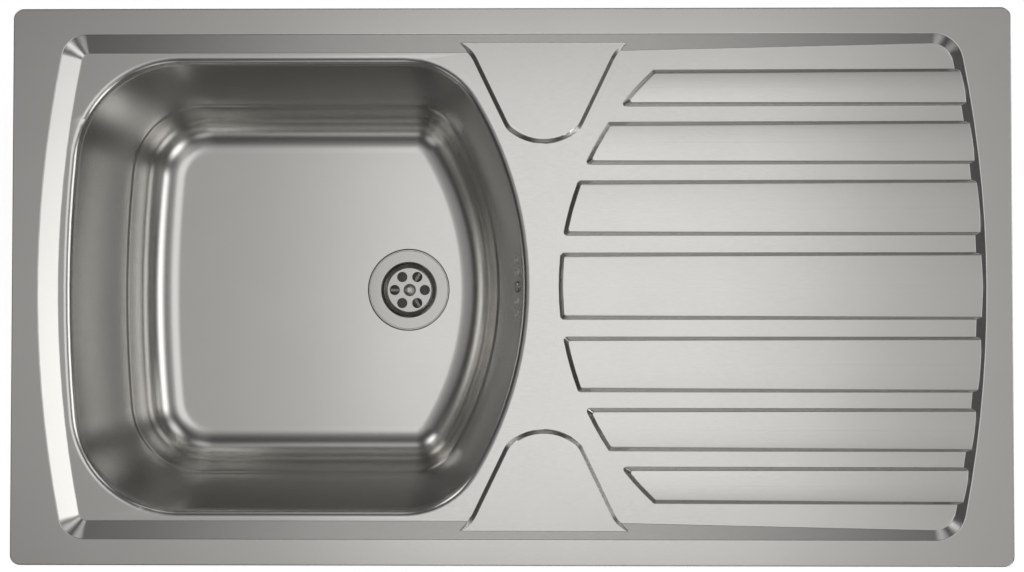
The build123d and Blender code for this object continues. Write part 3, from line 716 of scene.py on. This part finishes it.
@dataclass
class Bowl(Assembly):
    """The two-stage drawn bowl, with its ring, waste recess and overflow slots. Sizes in mm."""

    plan: BowlPlan = BowlPlan()
    ring_z: float = -100.5
    ring_step: float = 1.2
    ring_radius: float = 2.4
    floor_radius: float = 29.0
    crown: float = 2.0
    flat_from: float = -60.0
    flat_reach: tuple[float, float] = (34.0, 90.0)
    recess_radius: float = 35.4
    recess_edge: float = 0.7
    recess_foot: float = 0.4
    floor_inset: float = 3.0
    slot_size: tuple[float, float] = (6.0, 11.0)
    slot_reach: tuple[float, float] = (-15.0, 25.0)
    slot_z: float = -28.5
    crease_degrees: float = 32.0
    upper_steps: int = 14
    ring_steps: int = 8
    lower_steps: int = 4
    floor_steps: int = 26

    def wall_profile(self) -> Profile:
        """The wall's profile from the seam to the floor.

        Returns:
            Pairs of inward distance from the mouth and height.
        """
        lean = math.tan(math.radians(DRAFT_DEGREES))
        points = [(0.0, SEAM_Z)]
        upper_end = self.ring_z + 2 * self.ring_radius
        for step in range(1, self.upper_steps + 1):
            z = SEAM_Z + (upper_end - SEAM_Z) * step / self.upper_steps
            points.append(((SEAM_Z - z) * lean + self.crown_at(z), z))
        for step in range(1, self.ring_steps + 1):
            share = step / self.ring_steps
            ease = share * share * (3 - 2 * share)
            z = upper_end - 2 * self.ring_radius * share
            points.append(((SEAM_Z - z) * lean + self.ring_step * ease, z))
        tilt = math.radians(90 - DRAFT_DEGREES)
        start_z = FLOOR_Z + self.floor_radius * (1 - math.cos(tilt))
        for step in range(1, self.lower_steps + 1):
            z = self.ring_z + (start_z - self.ring_z) * step / self.lower_steps
            points.append(((SEAM_Z - z) * lean + self.ring_step, z))
        start_in = points[-1][0]
        for step in range(1, self.floor_steps + 1):
            angle = tilt * (1 - step / self.floor_steps)
            inward = start_in + self.floor_radius * (math.sin(tilt) - math.sin(angle))
            points.append((inward, FLOOR_Z + self.floor_radius * (1 - math.cos(angle))))
        return points

    def crown_at(self, height: float) -> float:
        """Finds how far in mm the drawn wall stands inward of its straight draft at a height."""
        share = (SEAM_Z - height) / (SEAM_Z - self.ring_z - 2 * self.ring_radius)
        return 4 * self.crown * share * (1 - share)

    def flatten_overflow(self, piece: Piece) -> None:
        """Takes the crown back out of the right wall where the overflow's gasket seals.

        Args:
            piece: the bowl, in edit mode.
        """
        mesh = bmesh.from_edit_mesh(piece.data)
        mesh.normal_update()
        start, end = self.flat_reach
        wall_low = self.ring_z + 2 * self.ring_radius
        for vertex in mesh.verts:
            x, y, z = (value / MM for value in vertex.co)
            if x > self.flat_from and abs(y) < end and wall_low < z < SEAM_Z:
                share = min(max((end - abs(y)) / (end - start), 0), 1)
                outward = Vector((vertex.normal.x, vertex.normal.y, 0)).normalized()
                vertex.co -= outward * self.crown_at(z) * share * share * (3 - 2 * share) * MM
        bmesh.update_edit_mesh(piece.data)

    def recess_profile(self) -> Profile:
        """The waste recess's profile from the floor to its hole.

        Returns:
            Pairs of inward distance from the recess's edge and height.
        """
        points = []
        for step in range(1, 6):
            angle = math.pi / 2 * step / 5
            drop = self.recess_edge * (1 - math.cos(angle))
            points.append((self.recess_edge * math.sin(angle), FLOOR_Z - drop))
        low = FLOOR_Z - RECESS_DEPTH
        points.append((self.recess_edge, low + self.recess_foot))
        points.append((self.recess_edge + self.recess_foot, low))
        points.append((self.recess_radius + self.recess_edge - WASTE_BORE, low))
        return points

    def sink_face(self, steps: Profile, start: tuple[float, float]) -> None:
        """Insets the selected face along a profile, in edit mode.

        Args:
            steps: pairs of inward distance and height in mm.
            start: the pair where the face is.
        """
        inward, height = start
        for next_inward, next_height in steps:
            bpy.ops.mesh.inset(
                thickness=max(next_inward - inward, 0.0) * MM,
                depth=(next_height - height) * MM,
                use_even_offset=True,
            )
            inward, height = next_inward, next_height

    def waste_circle(self, piece: Piece) -> None:
        """Moves the selected floor face's corners on to the waste recess's edge.

        Args:
            piece: the bowl, in edit mode.
        """
        mesh = bmesh.from_edit_mesh(piece.data)
        centre = Vector((WASTE_X, 0, FLOOR_Z)) * MM
        radius = (self.recess_radius + self.recess_edge) * MM
        for vertex in {v for f in mesh.faces if f.select for v in f.verts}:
            away = vertex.co - centre
            away.z = 0
            vertex.co = centre + away.normalized() * radius
        bmesh.update_edit_mesh(piece.data)

    def build(self) -> None:
        """Draws the bowl from a plate and cuts the overflow slots."""
        outline = self.plan.outline()
        bpy.ops.mesh.primitive_circle_add(vertices=len(outline), fill_type="NGON")
        piece = bpy.context.object
        piece.name = "bowl_shell"
        for vertex, point in zip(piece.data.vertices, outline):
            vertex.co = (point.x * MM, point.y * MM, SEAM_Z * MM)
        edit_all(piece)
        bpy.ops.mesh.normals_make_consistent(inside=False)
        mesh = bmesh.from_edit_mesh(piece.data)
        if next(iter(mesh.faces)).normal.z < 0:
            bpy.ops.mesh.flip_normals()
        profile = self.wall_profile()
        self.sink_face(profile[1:], profile[0])
        self.flatten_overflow(piece)
        bpy.ops.mesh.inset(thickness=self.floor_inset * MM, depth=0, use_even_offset=True)
        self.waste_circle(piece)
        self.sink_face(self.recess_profile(), (0.0, FLOOR_Z))
        bpy.ops.mesh.delete(type="FACE")
        bpy.ops.object.mode_set(mode="OBJECT")
        apply_modifier(piece, "SOLIDIFY", thickness=SHEET * MM, offset=-1.0, use_even_offset=True)
        cutters = [slot_bar(self.slot_size, self.slot_reach, y, self.slot_z) for y in SLOT_OFFSETS]
        cut(piece, [joined(cutters)])
        self.settle(piece, Slot.STEEL, "bowl", self.crease_degrees)


# ---- waste ----


@dataclass
class Waste(Assembly):
    """Strainer, its screw and rings, and the waste body with its threaded outlet. Sizes in mm."""

    metal: float = 1.0
    flange_radius: float = 34.4
    well_radius: float = 23.5
    grid_radius: float = 19.8
    grid_drop: float = 11.5
    screw_hole: float = 3.1
    hole_radius: float = 4.45
    hole_circle: float = 13.3
    holes: int = 6
    hole_bevel: float = 0.2
    screw_form: PanScrew = PanScrew(radius=3.0, length=18.0, head_radius=5.4, head=2.6, pitch=1.0)
    seal: float = 1.0
    seal_inset: float = 0.3
    gasket: float = 2.5
    body_radius: float = 34.0
    body_edge: float = 0.5
    outlet_radius: float = 23.9
    outlet_bore: float = 20.6
    outlet: tuple[float, float] = (-206.8, -184.9)
    outlet_pitch: float = 2.309
    thread_end: float = 0.1

    def ring(self, name: str, outer: float, top: float, height: float) -> Piece:
        """Makes a flat ring with rounded edges and the waste's bore.

        Args:
            name: the piece's name.
            outer: its outer radius.
            top: height of its top.
            height: its thickness.

        Returns:
            The ring.
        """
        low, edge = top - height, 0.3 * height
        corners = [(WASTE_BORE, low, edge), (outer, low, edge), (outer, top, edge), (WASTE_BORE, top, edge)]
        return turned(name, rounded(corners), 96)

    def strainer(self) -> Piece:
        """Makes the strainer cup: flat flange, rounded mouth, sloped well and a grid with bevelled holes.

        Returns:
            The cup, on the Z axis.
        """
        top = FLOOR_Z - self.grid_drop
        low = top - self.metal
        flange_low = FLOOR_Z - self.metal
        outer = self.well_radius + self.metal
        corners = [
            (0.0, low, 0),
            (self.grid_radius + self.metal, low, 2.0),
            (outer, low + 4.0, 2.0),
            (outer, flange_low, 0.8),
            (self.flange_radius, flange_low, 0.2),
            (self.flange_radius, FLOOR_Z, 0.5),
            (self.well_radius, FLOOR_Z, 1.5),
            (self.well_radius - 0.4, top + 3.4, 2.4),
            (self.grid_radius, top, 2.2),
            (0.0, top, 0),
        ]
        piece = turned("strainer_cup", rounded(corners, 6), 120)
        past_low, past_top = low - 3, top + 3
        cutters = [bar(self.screw_hole, past_low, past_top, 32)]
        for number in range(self.holes):
            place = Matrix.Rotation(2 * math.pi * number / self.holes, 4, "Z") @ shift(self.hole_circle, 0, 0)
            cutters.append(moved(bar(self.hole_radius, past_low, past_top, 48), place))
        cut(piece, cutters)
        round_edges(piece, self.hole_bevel, 60)
        return piece

    def body(self) -> Piece:
        """Makes the waste body, with softened moulded edges and a real thread on its outlet.

        Returns:
            The body, in its place.
        """
        body = softened("waste_body", "waste_body_moulding", self.body_edge, 35.0)
        low, high = self.outlet
        span = (low + self.thread_end, high)
        thread = threaded("waste_thread", self.outlet_radius, self.outlet_pitch, span, 72)
        cut(thread, [bar(self.outlet_bore, low - 5, high + 5, 72)])
        self.trim(body)
        return joined([body, moved(thread, shift(WASTE_X, 0, 0))])

    def trim(self, body: Piece) -> None:
        """Turns the outlet's plain outside down to the thread's root.

        Args:
            body: the waste body.
        """
        root = (self.outlet_radius - 0.6 * self.outlet_pitch + 0.05) * MM
        rim = (self.outlet_radius - 0.8) * MM
        centre = Vector((WASTE_X * MM, 0, 0))
        for vertex in body.data.vertices:
            away = vertex.co - centre
            away.z = 0
            if away.length > rim and vertex.co.z < (self.outlet[1] - 0.4) * MM:
                place = centre + away.normalized() * root
                vertex.co.x, vertex.co.y = place.x, place.y

    def build(self) -> None:
        """Makes the waste's pieces and sets them on its axis."""
        seal_top = FLOOR_Z - self.metal
        gasket_top = FLOOR_Z - RECESS_DEPTH - SHEET
        cup = self.strainer()
        screw = self.screw_form.build("strainer_screw_finished")
        seal = self.ring("strainer_seal_ring", self.flange_radius - self.seal_inset, seal_top, self.seal)
        gasket = self.ring("waste_gasket_ring", self.body_radius, gasket_top, self.gasket)
        for piece, slot, node, crease in (
            (cup, Slot.POLISHED, "strainer", 40.0),
            (moved(screw, shift(0, 0, FLOOR_Z - self.grid_drop)), Slot.POLISHED, "strainer_screw", 35.0),
            (seal, Slot.RUBBER, "strainer_seal", 50.0),
            (gasket, Slot.RUBBER, "waste_gasket", 50.0),
        ):
            self.settle(moved(piece, shift(WASTE_X, 0, 0)), slot, node, crease)
        self.settle(self.body(), Slot.PLASTIC, "waste_body", 38.0)


# ---- overflow ----


@dataclass
class Overflow(Assembly):
    """Housing behind the slots, its gasket and screw, and the corrugated hose with its nuts. Sizes in mm."""

    route: tuple[tuple[float, float], ...] = (
        (21.5, -53.5),
        (21.5, -99.82),
        (12.86, -135.72),
        (-5.1, -158.88),
        (-23.06, -169.3),
        (-45.0, -169.3),
    )
    hose_radius: float = 11.0
    hose_wall: float = 1.2
    groove: float = 1.7
    groove_shape: float = 0.7
    pitch: float = 3.9
    cuff: float = 5.0
    cuff_radius: float = 12.2
    cuff_flange: float = 2.0
    cuff_edge: float = 0.1
    mouth_length: float = 3.0
    rings_per_wave: int = 8
    bore_rings: int = 60
    sides: int = 40
    seal: float = 2.0
    screw_form: PanScrew = PanScrew(radius=2.5, length=17.0, head_radius=4.6, head=2.2, pitch=0.8)
    screw_place: tuple[float, float] = (5.34, -28.48)
    lip_size: tuple[float, float] = (5.9, 10.9)
    lip_bore: tuple[float, float] = (4.7, 9.7)
    lip_front: float = 1.4
    lip_back: float = 12.5

    def hose_line(self) -> list[Vector]:
        """Reads even points along a smooth spline through the hose's route.

        Returns:
            Points in mm.
        """
        curve = bpy.data.curves.new("hose_route", "CURVE")
        curve.dimensions = "3D"
        curve.resolution_u = 24
        spline = curve.splines.new("NURBS")
        spline.points.add(len(self.route) - 1)
        for point, (x, z) in zip(spline.points, self.route):
            point.co = (x, 0, z, 1)
        spline.order_u = 3
        spline.use_endpoint_u = True
        holder = added("hose_route", curve)
        graph = bpy.context.evaluated_depsgraph_get()
        line = bpy.data.meshes.new_from_object(holder.evaluated_get(graph))
        points = [vertex.co.copy() for vertex in line.vertices]
        bpy.data.meshes.remove(line)
        bpy.data.objects.remove(holder)
        bpy.data.curves.remove(curve)
        return points

    def hose_stations(self, total: float) -> Profile:
        """Gives the outside's rings: cuffs at the ends and waves between them.

        Args:
            total: the hose's length.

        Returns:
            Pairs of way along the hose and radius.
        """
        start = [(0.0, self.cuff_radius), (self.cuff_flange, self.cuff_radius)]
        start += [(self.cuff_flange + self.cuff_edge, self.hose_radius), (self.cuff, self.hose_radius)]
        plain = total - 2 * self.cuff
        waves = round(plain / self.pitch)
        middle = []
        for number in range(1, waves * self.rings_per_wave):
            share = number / (waves * self.rings_per_wave)
            dip = (0.5 - 0.5 * math.cos(2 * math.pi * share * waves)) ** self.groove_shape
            middle.append((self.cuff + share * plain, self.hose_radius - self.groove * dip))
        return start + middle + [(total - at, radius) for at, radius in reversed(start)]

    def hose(self) -> Piece:
        """Makes the hose: a corrugated tube with plain cuffs that follows the route.

        Returns:
            The hose, in its place.
        """
        line = self.hose_line()
        lengths = [0.0]
        for before, after in zip(line, line[1:]):
            lengths.append(lengths[-1] + (after - before).length)
        total = lengths[-1]
        mouth = self.hose_radius - self.hose_wall
        bore = mouth - self.groove
        run = total - 2 * self.mouth_length
        inside = [(0.0, mouth)]
        inside += [(self.mouth_length + run * n / self.bore_rings, bore) for n in range(self.bore_rings + 1)]
        inside.append((total, mouth))
        stations = self.hose_stations(total) + inside[::-1]
        rings = [self.hose_ring(line, lengths, at, radius) for at, radius in stations]
        faces = []
        for n in range(len(rings)):
            here, there = n * self.sides, (n + 1) % len(rings) * self.sides
            for k in range(self.sides):
                beside = (k + 1) % self.sides
                faces.append((here + k, here + beside, there + beside, there + k))
        piece = new_piece("overflow_hose_corrugated", [point for ring in rings for point in ring], (), faces)
        close_up(piece)
        smooth_shading(piece, 60.0, weighted=False)
        return piece

    def hose_ring(self, line: list[Vector], lengths: list[float], at: float, radius: float) -> list[Vector]:
        """Finds one ring of points round the hose's line.

        Args:
            line: the line's points.
            lengths: the way along the line to each point.
            at: the ring's way along the line.
            radius: its radius.

        Returns:
            Points in mm.
        """
        index = next((n for n in range(1, len(line)) if lengths[n] >= at - 1e-9), len(line) - 1)
        share = (at - lengths[index - 1]) / (lengths[index] - lengths[index - 1])
        centre = line[index - 1].lerp(line[index], share)
        steps = [line[min(n + 1, len(line) - 1)] - line[max(n - 1, 0)] for n in (index - 1, index)]
        ahead = steps[0].normalized().lerp(steps[1].normalized(), share).normalized()
        across = Vector((0, 1, 0))
        over = ahead.cross(across)
        angles = [2 * math.pi * k / self.sides for k in range(self.sides)]
        return [centre + (across * math.cos(a) + over * math.sin(a)) * radius for a in angles]

    def washers(self) -> None:
        """Makes the washer at each end of the hose."""
        (top_x, top_z), (low_x, low_z) = self.route[0], self.route[-1]
        over = shift(top_x, 0, top_z + self.seal) @ Matrix.Rotation(math.pi, 4, "X")
        beside = shift(low_x - self.seal, 0, low_z) @ Matrix.Rotation(math.pi / 2, 4, "Y")
        bore, outer, edge = self.hose_radius - self.hose_wall, self.cuff_radius, 0.5
        corners = [(bore, 0.0, edge), (outer, 0.0, edge), (outer, self.seal, edge), (bore, self.seal, edge)]
        for node, place in (("hose_seal_top", over), ("hose_seal_low", beside)):
            self.settle(moved(turned(f"{node}_ring", rounded(corners), 64), place), Slot.RUBBER, node, 50.0)

    def screw(self) -> Piece:
        """Makes the screw that holds the housing through the bowl's wall.

        Returns:
            The screw, in its place.
        """
        screw = self.screw_form.build("overflow_screw_finished")
        lean = math.radians(DRAFT_DEGREES)
        turn = facing(Vector((-math.cos(lean), 0, math.sin(lean))), Vector((0, 1, 0)))
        x, z = self.screw_place
        return moved(screw, shift(x, 0, z) @ turn)

    def lips(self) -> list[Piece]:
        """Makes the housing's moulded lips, which line the bowl's slots and stand a little proud inside.

        Returns:
            A lip for each slot.
        """
        lean = math.tan(math.radians(DRAFT_DEGREES))
        z = self.screw_place[1]
        lips = []
        for y in SLOT_OFFSETS:
            lip = slot_bar(self.lip_size, (0.0, self.lip_back), y, z)
            for vertex in lip.data.vertices:
                if vertex.co.x < 1 * MM:
                    vertex.co.x = (MOUTH_RIGHT - (SEAM_Z - vertex.co.z / MM) * lean - self.lip_front) * MM
            cut(lip, [slot_bar(self.lip_bore, (-5.0, self.lip_back + 5), y, z)])
            lips.append(lip)
        return lips

    def build(self) -> None:
        """Makes the overflow's pieces."""
        housing = softened("overflow_housing", "overflow_housing_moulding", 0.8, 35.0)
        self.settle(joined([housing] + self.lips()), Slot.PLASTIC, "overflow_housing", 38.0)
        gasket = softened("overflow_gasket", "overflow_gasket_ring", 0.4, 50.0)
        self.settle(gasket, Slot.RUBBER, "overflow_gasket", 40.0)
        for node in ("hose_nut_top", "hose_nut_low"):
            self.settle(softened(node, f"{node}_fluted", 0.4, 35.0), Slot.PLASTIC, node, 38.0)
        self.washers()
        self.settle(self.screw(), Slot.POLISHED, "overflow_screw", 35.0)
        self.settle(self.hose(), Slot.HOSE, "overflow_hose")


# ---- foam strip and damping pad ----


@dataclass
class Linings(Assembly):
    """The foam strip under the rim and the damping pad under the bowl. Sizes in mm."""

    strip: tuple[float, float] = (776.8, 431.8)
    strip_width: float = 6.4
    strip_height: float = 2.7
    strip_edge: float = 0.9
    pad: tuple[float, float] = (120.0, 170.0)
    pad_corner: float = 12.0
    pad_height: float = 3.0
    pad_edge: float = 1.1
    pad_place: tuple[float, float] = (-225.0, -147.3)

    def plate(self, name: str, size: tuple[float, float], corner: float) -> Piece:
        """Makes a flat plate with round corners, left in edit mode.

        Args:
            name: the piece's name.
            size: sizes along X and Y.
            corner: radius of its corners.

        Returns:
            The plate.
        """
        bpy.ops.mesh.primitive_plane_add(size=MM)
        plate = bpy.context.object
        plate.name = name
        plate.data.transform(Matrix.Diagonal((*size, 1, 1)))
        edit_all(plate)
        bpy.ops.mesh.bevel(offset=corner * MM, segments=10, affect="VERTICES")
        bpy.ops.mesh.select_all(action="SELECT")
        return plate

    def build(self) -> None:
        """Makes the strip, a soft closed frame, and the pad, a heavy sheet with a soft rolled edge."""
        strip = self.plate("rim_foam_strip", self.strip, self.strip_width)
        bpy.ops.mesh.inset(thickness=0.97 * self.strip_width * MM, depth=0, use_even_offset=True)
        bpy.ops.mesh.delete(type="FACE")
        apply_modifier(strip, "SOLIDIFY", thickness=self.strip_height * MM, offset=1.0, use_even_offset=True)
        round_edges(strip, self.strip_edge, 60, 4)
        self.settle(strip, Slot.FOAM, "rim_seal", 50.0)
        pad = self.plate("damping_sheet", self.pad, self.pad_corner)
        apply_modifier(pad, "SOLIDIFY", thickness=self.pad_height * MM, offset=-1.0, use_even_offset=True)
        round_edges(pad, self.pad_edge, 60, 4)
        x, z = self.pad_place
        self.settle(moved(pad, shift(x, 0, z)), Slot.PAD, "sound_pad", 50.0)


# ---- clamps ----


@dataclass
class Clamps(Assembly):
    """The eight fixing clamps: bracket, screw and claw. Sizes in mm; three are a radius, a low and a top."""

    spacing: float = 270.0
    line: float = 191.5
    end_line: float = 364.0
    rivet: tuple[float, float, float] = (3.6, -9.7, -8.7)
    neck_radius: float = 2.35
    collar: tuple[float, float, float] = (4.2, -13.6, -11.8)
    thread_radius: float = 2.5
    thread_lap: float = 0.2
    pitch: float = 0.8
    head: tuple[float, float, float] = (4.8, -72.9, -69.7)
    head_chamfer: float = 1.5
    slot_width: float = 1.2
    slot_depth: float = 1.6

    def places(self) -> list[Matrix]:
        """Finds where the clamps hang.

        Returns:
            A matrix for each clamp, in metres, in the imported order.
        """
        back = [(x, self.line, 0) for x in (-self.spacing, 0, self.spacing)]
        front = [(x, -self.line, 180) for x in (self.spacing, 0, -self.spacing)]
        spots = back + [(self.end_line, 0, -90)] + front + [(-self.end_line, 0, 90)]
        return [shift(x, y, 0) @ Matrix.Rotation(math.radians(angle), 4, "Z") for x, y, angle in spots]

    def screw(self) -> Piece:
        """Makes the hanging screw: riveted top, collar, thread and a slotted head.

        Returns:
            The screw, on the Z axis.
        """
        rivet_radius, rivet_low, rivet_top = self.rivet
        collar_radius, collar_low, collar_top = self.collar
        head_radius, head_low, head_top = self.head
        corners = [
            (0.0, rivet_top, 0),
            (rivet_radius, rivet_top, 0.8),
            (rivet_radius, rivet_low, 0.15),
            (self.neck_radius, rivet_low, 0),
            (self.neck_radius, collar_top, 0),
            (collar_radius, collar_top, 0.3),
            (collar_radius, collar_low, 0.4),
            (0.0, collar_low, 0),
        ]
        top = turned("clamp_screw_top", rounded(corners), 40)
        span = (head_top - self.thread_lap, collar_low + self.thread_lap)
        thread = threaded("clamp_screw_thread", self.thread_radius, self.pitch, span, 20)
        corners = [
            (0.0, head_top, 0),
            (head_radius, head_top, 0.3),
            (head_radius, head_low + self.head_chamfer, 1.0),
            (0.62 * head_radius, head_low, 1.0),
            (0.0, head_low, 0),
        ]
        head = turned("clamp_screw_head", rounded(corners), 48)
        bpy.ops.mesh.primitive_cube_add(size=MM)
        size = Matrix.Diagonal((4 * head_radius, self.slot_width, 2 * self.slot_depth, 1))
        cut(head, [moved(bpy.context.object, shift(0, 0, head_low) @ size)])
        round_edges(head, 0.15, 50, 2)
        return joined([top, thread, head])

    def build(self) -> None:
        """Makes one clamp, then copies it to every place."""
        places = self.places()
        home = places[0].inverted()
        bracket = moved(softened("clamp_1_bracket", "bracket_pattern", 0.25, 40.0), home)
        claw = moved(softened("clamp_1_claw", "claw_pattern", 0.45, 40.0), home)
        patterns = {"bracket": bracket, "screw": self.screw(), "claw": claw}
        for kind, crease in (("bracket", 40.0), ("screw", 35.0), ("claw", 40.0)):
            smooth_shading(patterns[kind], crease)
        for number, place in enumerate(places, start=1):
            for kind, pattern in patterns.items():
                node = f"clamp_{number}_{kind}"
                piece = moved(added(f"{node}_finished", pattern.data.copy()), place)
                self.settle(piece, Slot.ZINC, node, body="sink" if kind == "bracket" else node)
        for pattern in patterns.values():
            bpy.data.objects.remove(pattern)


# ---- camera, light and floor ----


@dataclass(frozen=True)
class Glow:
    """A soft bright patch of the studio's walls and ceiling, placed by direction. Degrees."""

    tilt: float
    azimuth: float
    reach: float
    level: float

    def add(self, tree: Tree, way: Socket) -> Socket:
        """Adds the patch to the room's nodes.

        Args:
            tree: the world's node tree.
            way: the direction looked in.

        Returns:
            The patch's strength in that direction.
        """
        centre = direction(self.tilt, self.azimuth)
        near = add_node(tree, "VectorMath", {0: way, 1: centre}, operation="DOT_PRODUCT").outputs["Value"]
        limits = {"From Min": math.cos(math.radians(self.reach)), "From Max": 1.0, "To Min": 0.0}
        share = {"Value": near, "To Max": self.level, **limits}
        return add_node(tree, "MapRange", share, interpolation_type="SMOOTHSTEP").outputs[0]


@dataclass
class Studio:
    """Camera over the sink, one soft lamp, a dim room with soft bright patches, and a pale floor. Metres."""

    camera_place: tuple[float, float, float] = (0.015, -0.027, 1.201)
    camera_aim: tuple[float, float, float] = (0.0012, 0.0, 0.0)
    lens_mm: float = 54.1
    lamp_size: tuple[float, float] = (1.15, 1.3)
    lamp_tilt: float = 3.0
    lamp_distance: float = 2.6
    lamp_level: float = 0.62
    room_level: float = 0.05
    glows: tuple[Glow, ...] = (
        Glow(tilt=2.0, azimuth=0.0, reach=35.0, level=0.5),
        Glow(tilt=38.0, azimuth=0.0, reach=20.0, level=0.18),
        Glow(tilt=61.0, azimuth=6.0, reach=17.0, level=2.4),
        Glow(tilt=60.0, azimuth=45.0, reach=16.0, level=1.2),
        Glow(tilt=34.0, azimuth=90.0, reach=14.0, level=0.12),
        Glow(tilt=62.0, azimuth=90.0, reach=16.0, level=0.7),
        Glow(tilt=64.0, azimuth=135.0, reach=15.0, level=2.2),
        Glow(tilt=36.0, azimuth=180.0, reach=18.0, level=0.3),
        Glow(tilt=60.0, azimuth=225.0, reach=16.0, level=0.6),
        Glow(tilt=34.0, azimuth=270.0, reach=14.0, level=0.12),
        Glow(tilt=64.0, azimuth=270.0, reach=16.0, level=0.7),
        Glow(tilt=36.0, azimuth=308.0, reach=16.0, level=0.5),
        Glow(tilt=61.0, azimuth=315.0, reach=16.0, level=2.4),
    )
    floor_size: float = 30.0
    floor_z: float = -0.207
    floor_shown: float = 0.74
    floor_mirrored: float = 0.45

    def camera(self) -> None:
        """Adds the camera, level with the sink's long side, and makes it the scene's."""
        data = bpy.data.cameras.new("camera")
        data.lens = self.lens_mm
        data.sensor_width = 36.0
        data.clip_end = 50.0
        camera = added("camera", data)
        back = (Vector(self.camera_place) - Vector(self.camera_aim)).normalized()
        camera.matrix_world = Matrix.Translation(self.camera_place) @ facing(back, Vector((1, 0, 0)))
        bpy.context.scene.camera = camera

    def lamp(self) -> None:
        """Adds the large soft lamp over the sink."""
        data = bpy.data.lights.new("overhead_core", "AREA")
        data.shape = "RECTANGLE"
        length, width = self.lamp_size
        data.size, data.size_y = length, width
        data.energy = self.lamp_level * math.pi * length * width
        out = direction(self.lamp_tilt, 0.0)
        turn = facing(out, Vector((1, 0, 0)))
        added("overhead_core", data).matrix_world = Matrix.Translation(out * self.lamp_distance) @ turn

    def room(self) -> None:
        """Sets the world: white to the camera, a dim room with its bright patches to everything else."""
        world = bpy.data.worlds.new("room")
        world.use_nodes = True
        tree = world.node_tree
        tree.nodes.clear()
        path = add_node(tree, "LightPath")
        way = add_node(tree, "TexCoord").outputs["Generated"]
        total = self.room_level
        for glow in self.glows:
            total = add_node(tree, "Math", {0: glow.add(tree, way), 1: total}, operation="ADD").outputs[0]
        dim = add_node(tree, "Background", {"Color": linear("#FFFFFF"), "Strength": total})
        white = add_node(tree, "Background", {"Color": linear("#FFFFFF"), "Strength": 1.0})
        shown = path.outputs["Is Camera Ray"]
        mix = add_node(tree, "MixShader", {0: shown, 1: dim.outputs[0], 2: white.outputs[0]})
        add_node(tree, "OutputWorld", {"Surface": mix.outputs[0]})
        bpy.context.scene.world = world

    def floor(self) -> None:
        """Adds the pale floor, white from above but for the sink's shadow, and clear from below."""
        bpy.ops.mesh.primitive_plane_add(size=self.floor_size, location=(0, 0, self.floor_z))
        plane = bpy.context.object
        plane.name = "floor"
        made = bpy.data.materials.new("pale_floor")
        made.use_nodes = True
        tree = made.node_tree
        tree.nodes.clear()
        path = add_node(tree, "LightPath").outputs
        mirrors = {0: path["Is Glossy Ray"], 1: path["Is Transmission Ray"]}
        mirrored = add_node(tree, "Math", mirrors, operation="MAXIMUM").outputs[0]
        faint = add_node(tree, "Math", {0: mirrored, 1: self.floor_mirrored}, operation="MULTIPLY")
        shown = {0: path["Is Camera Ray"], 1: self.floor_shown}
        plain = add_node(tree, "Math", shown, operation="MULTIPLY")
        level = add_node(tree, "Math", {0: plain.outputs[0], 1: faint.outputs[0]}, operation="MAXIMUM")
        matt = add_node(tree, "BsdfDiffuse", {"Color": linear("#E6E6E6")})
        glow = add_node(tree, "Emission", {"Color": linear("#FFFFFF"), "Strength": level.outputs[0]})
        both = add_node(tree, "AddShader", {0: matt.outputs[0], 1: glow.outputs[0]})
        below = add_node(tree, "NewGeometry").outputs["Backfacing"]
        clear = add_node(tree, "BsdfTransparent")
        mix = add_node(tree, "MixShader", {0: below, 1: both.outputs[0], 2: clear.outputs[0]})
        add_node(tree, "OutputMaterial", {"Surface": mix.outputs[0]})
        plane.data.materials.append(made)

    def build(self) -> None:
        """Sets up the camera, the light and the floor."""
        bpy.context.scene.view_settings.view_transform = "Standard"
        self.camera()
        self.room()
        self.lamp()
        self.floor()


# ---- all of it ----


def main() -> None:
    """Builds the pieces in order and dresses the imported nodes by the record's slots."""
    logging.basicConfig(level=logging.INFO, format="%(message)s")
    Studio().build()
    finishes = Finishes()
    for assembly in (Deck, Bowl, Waste, Overflow, Linings, Clamps):
        assembly(finishes).build()
    for part in frame["record"]["subparts"]:
        finishes.dress(frame["nodes"][part["node"]], Slot(part["material_slot"]))


if __name__ == "__main__":
    main()
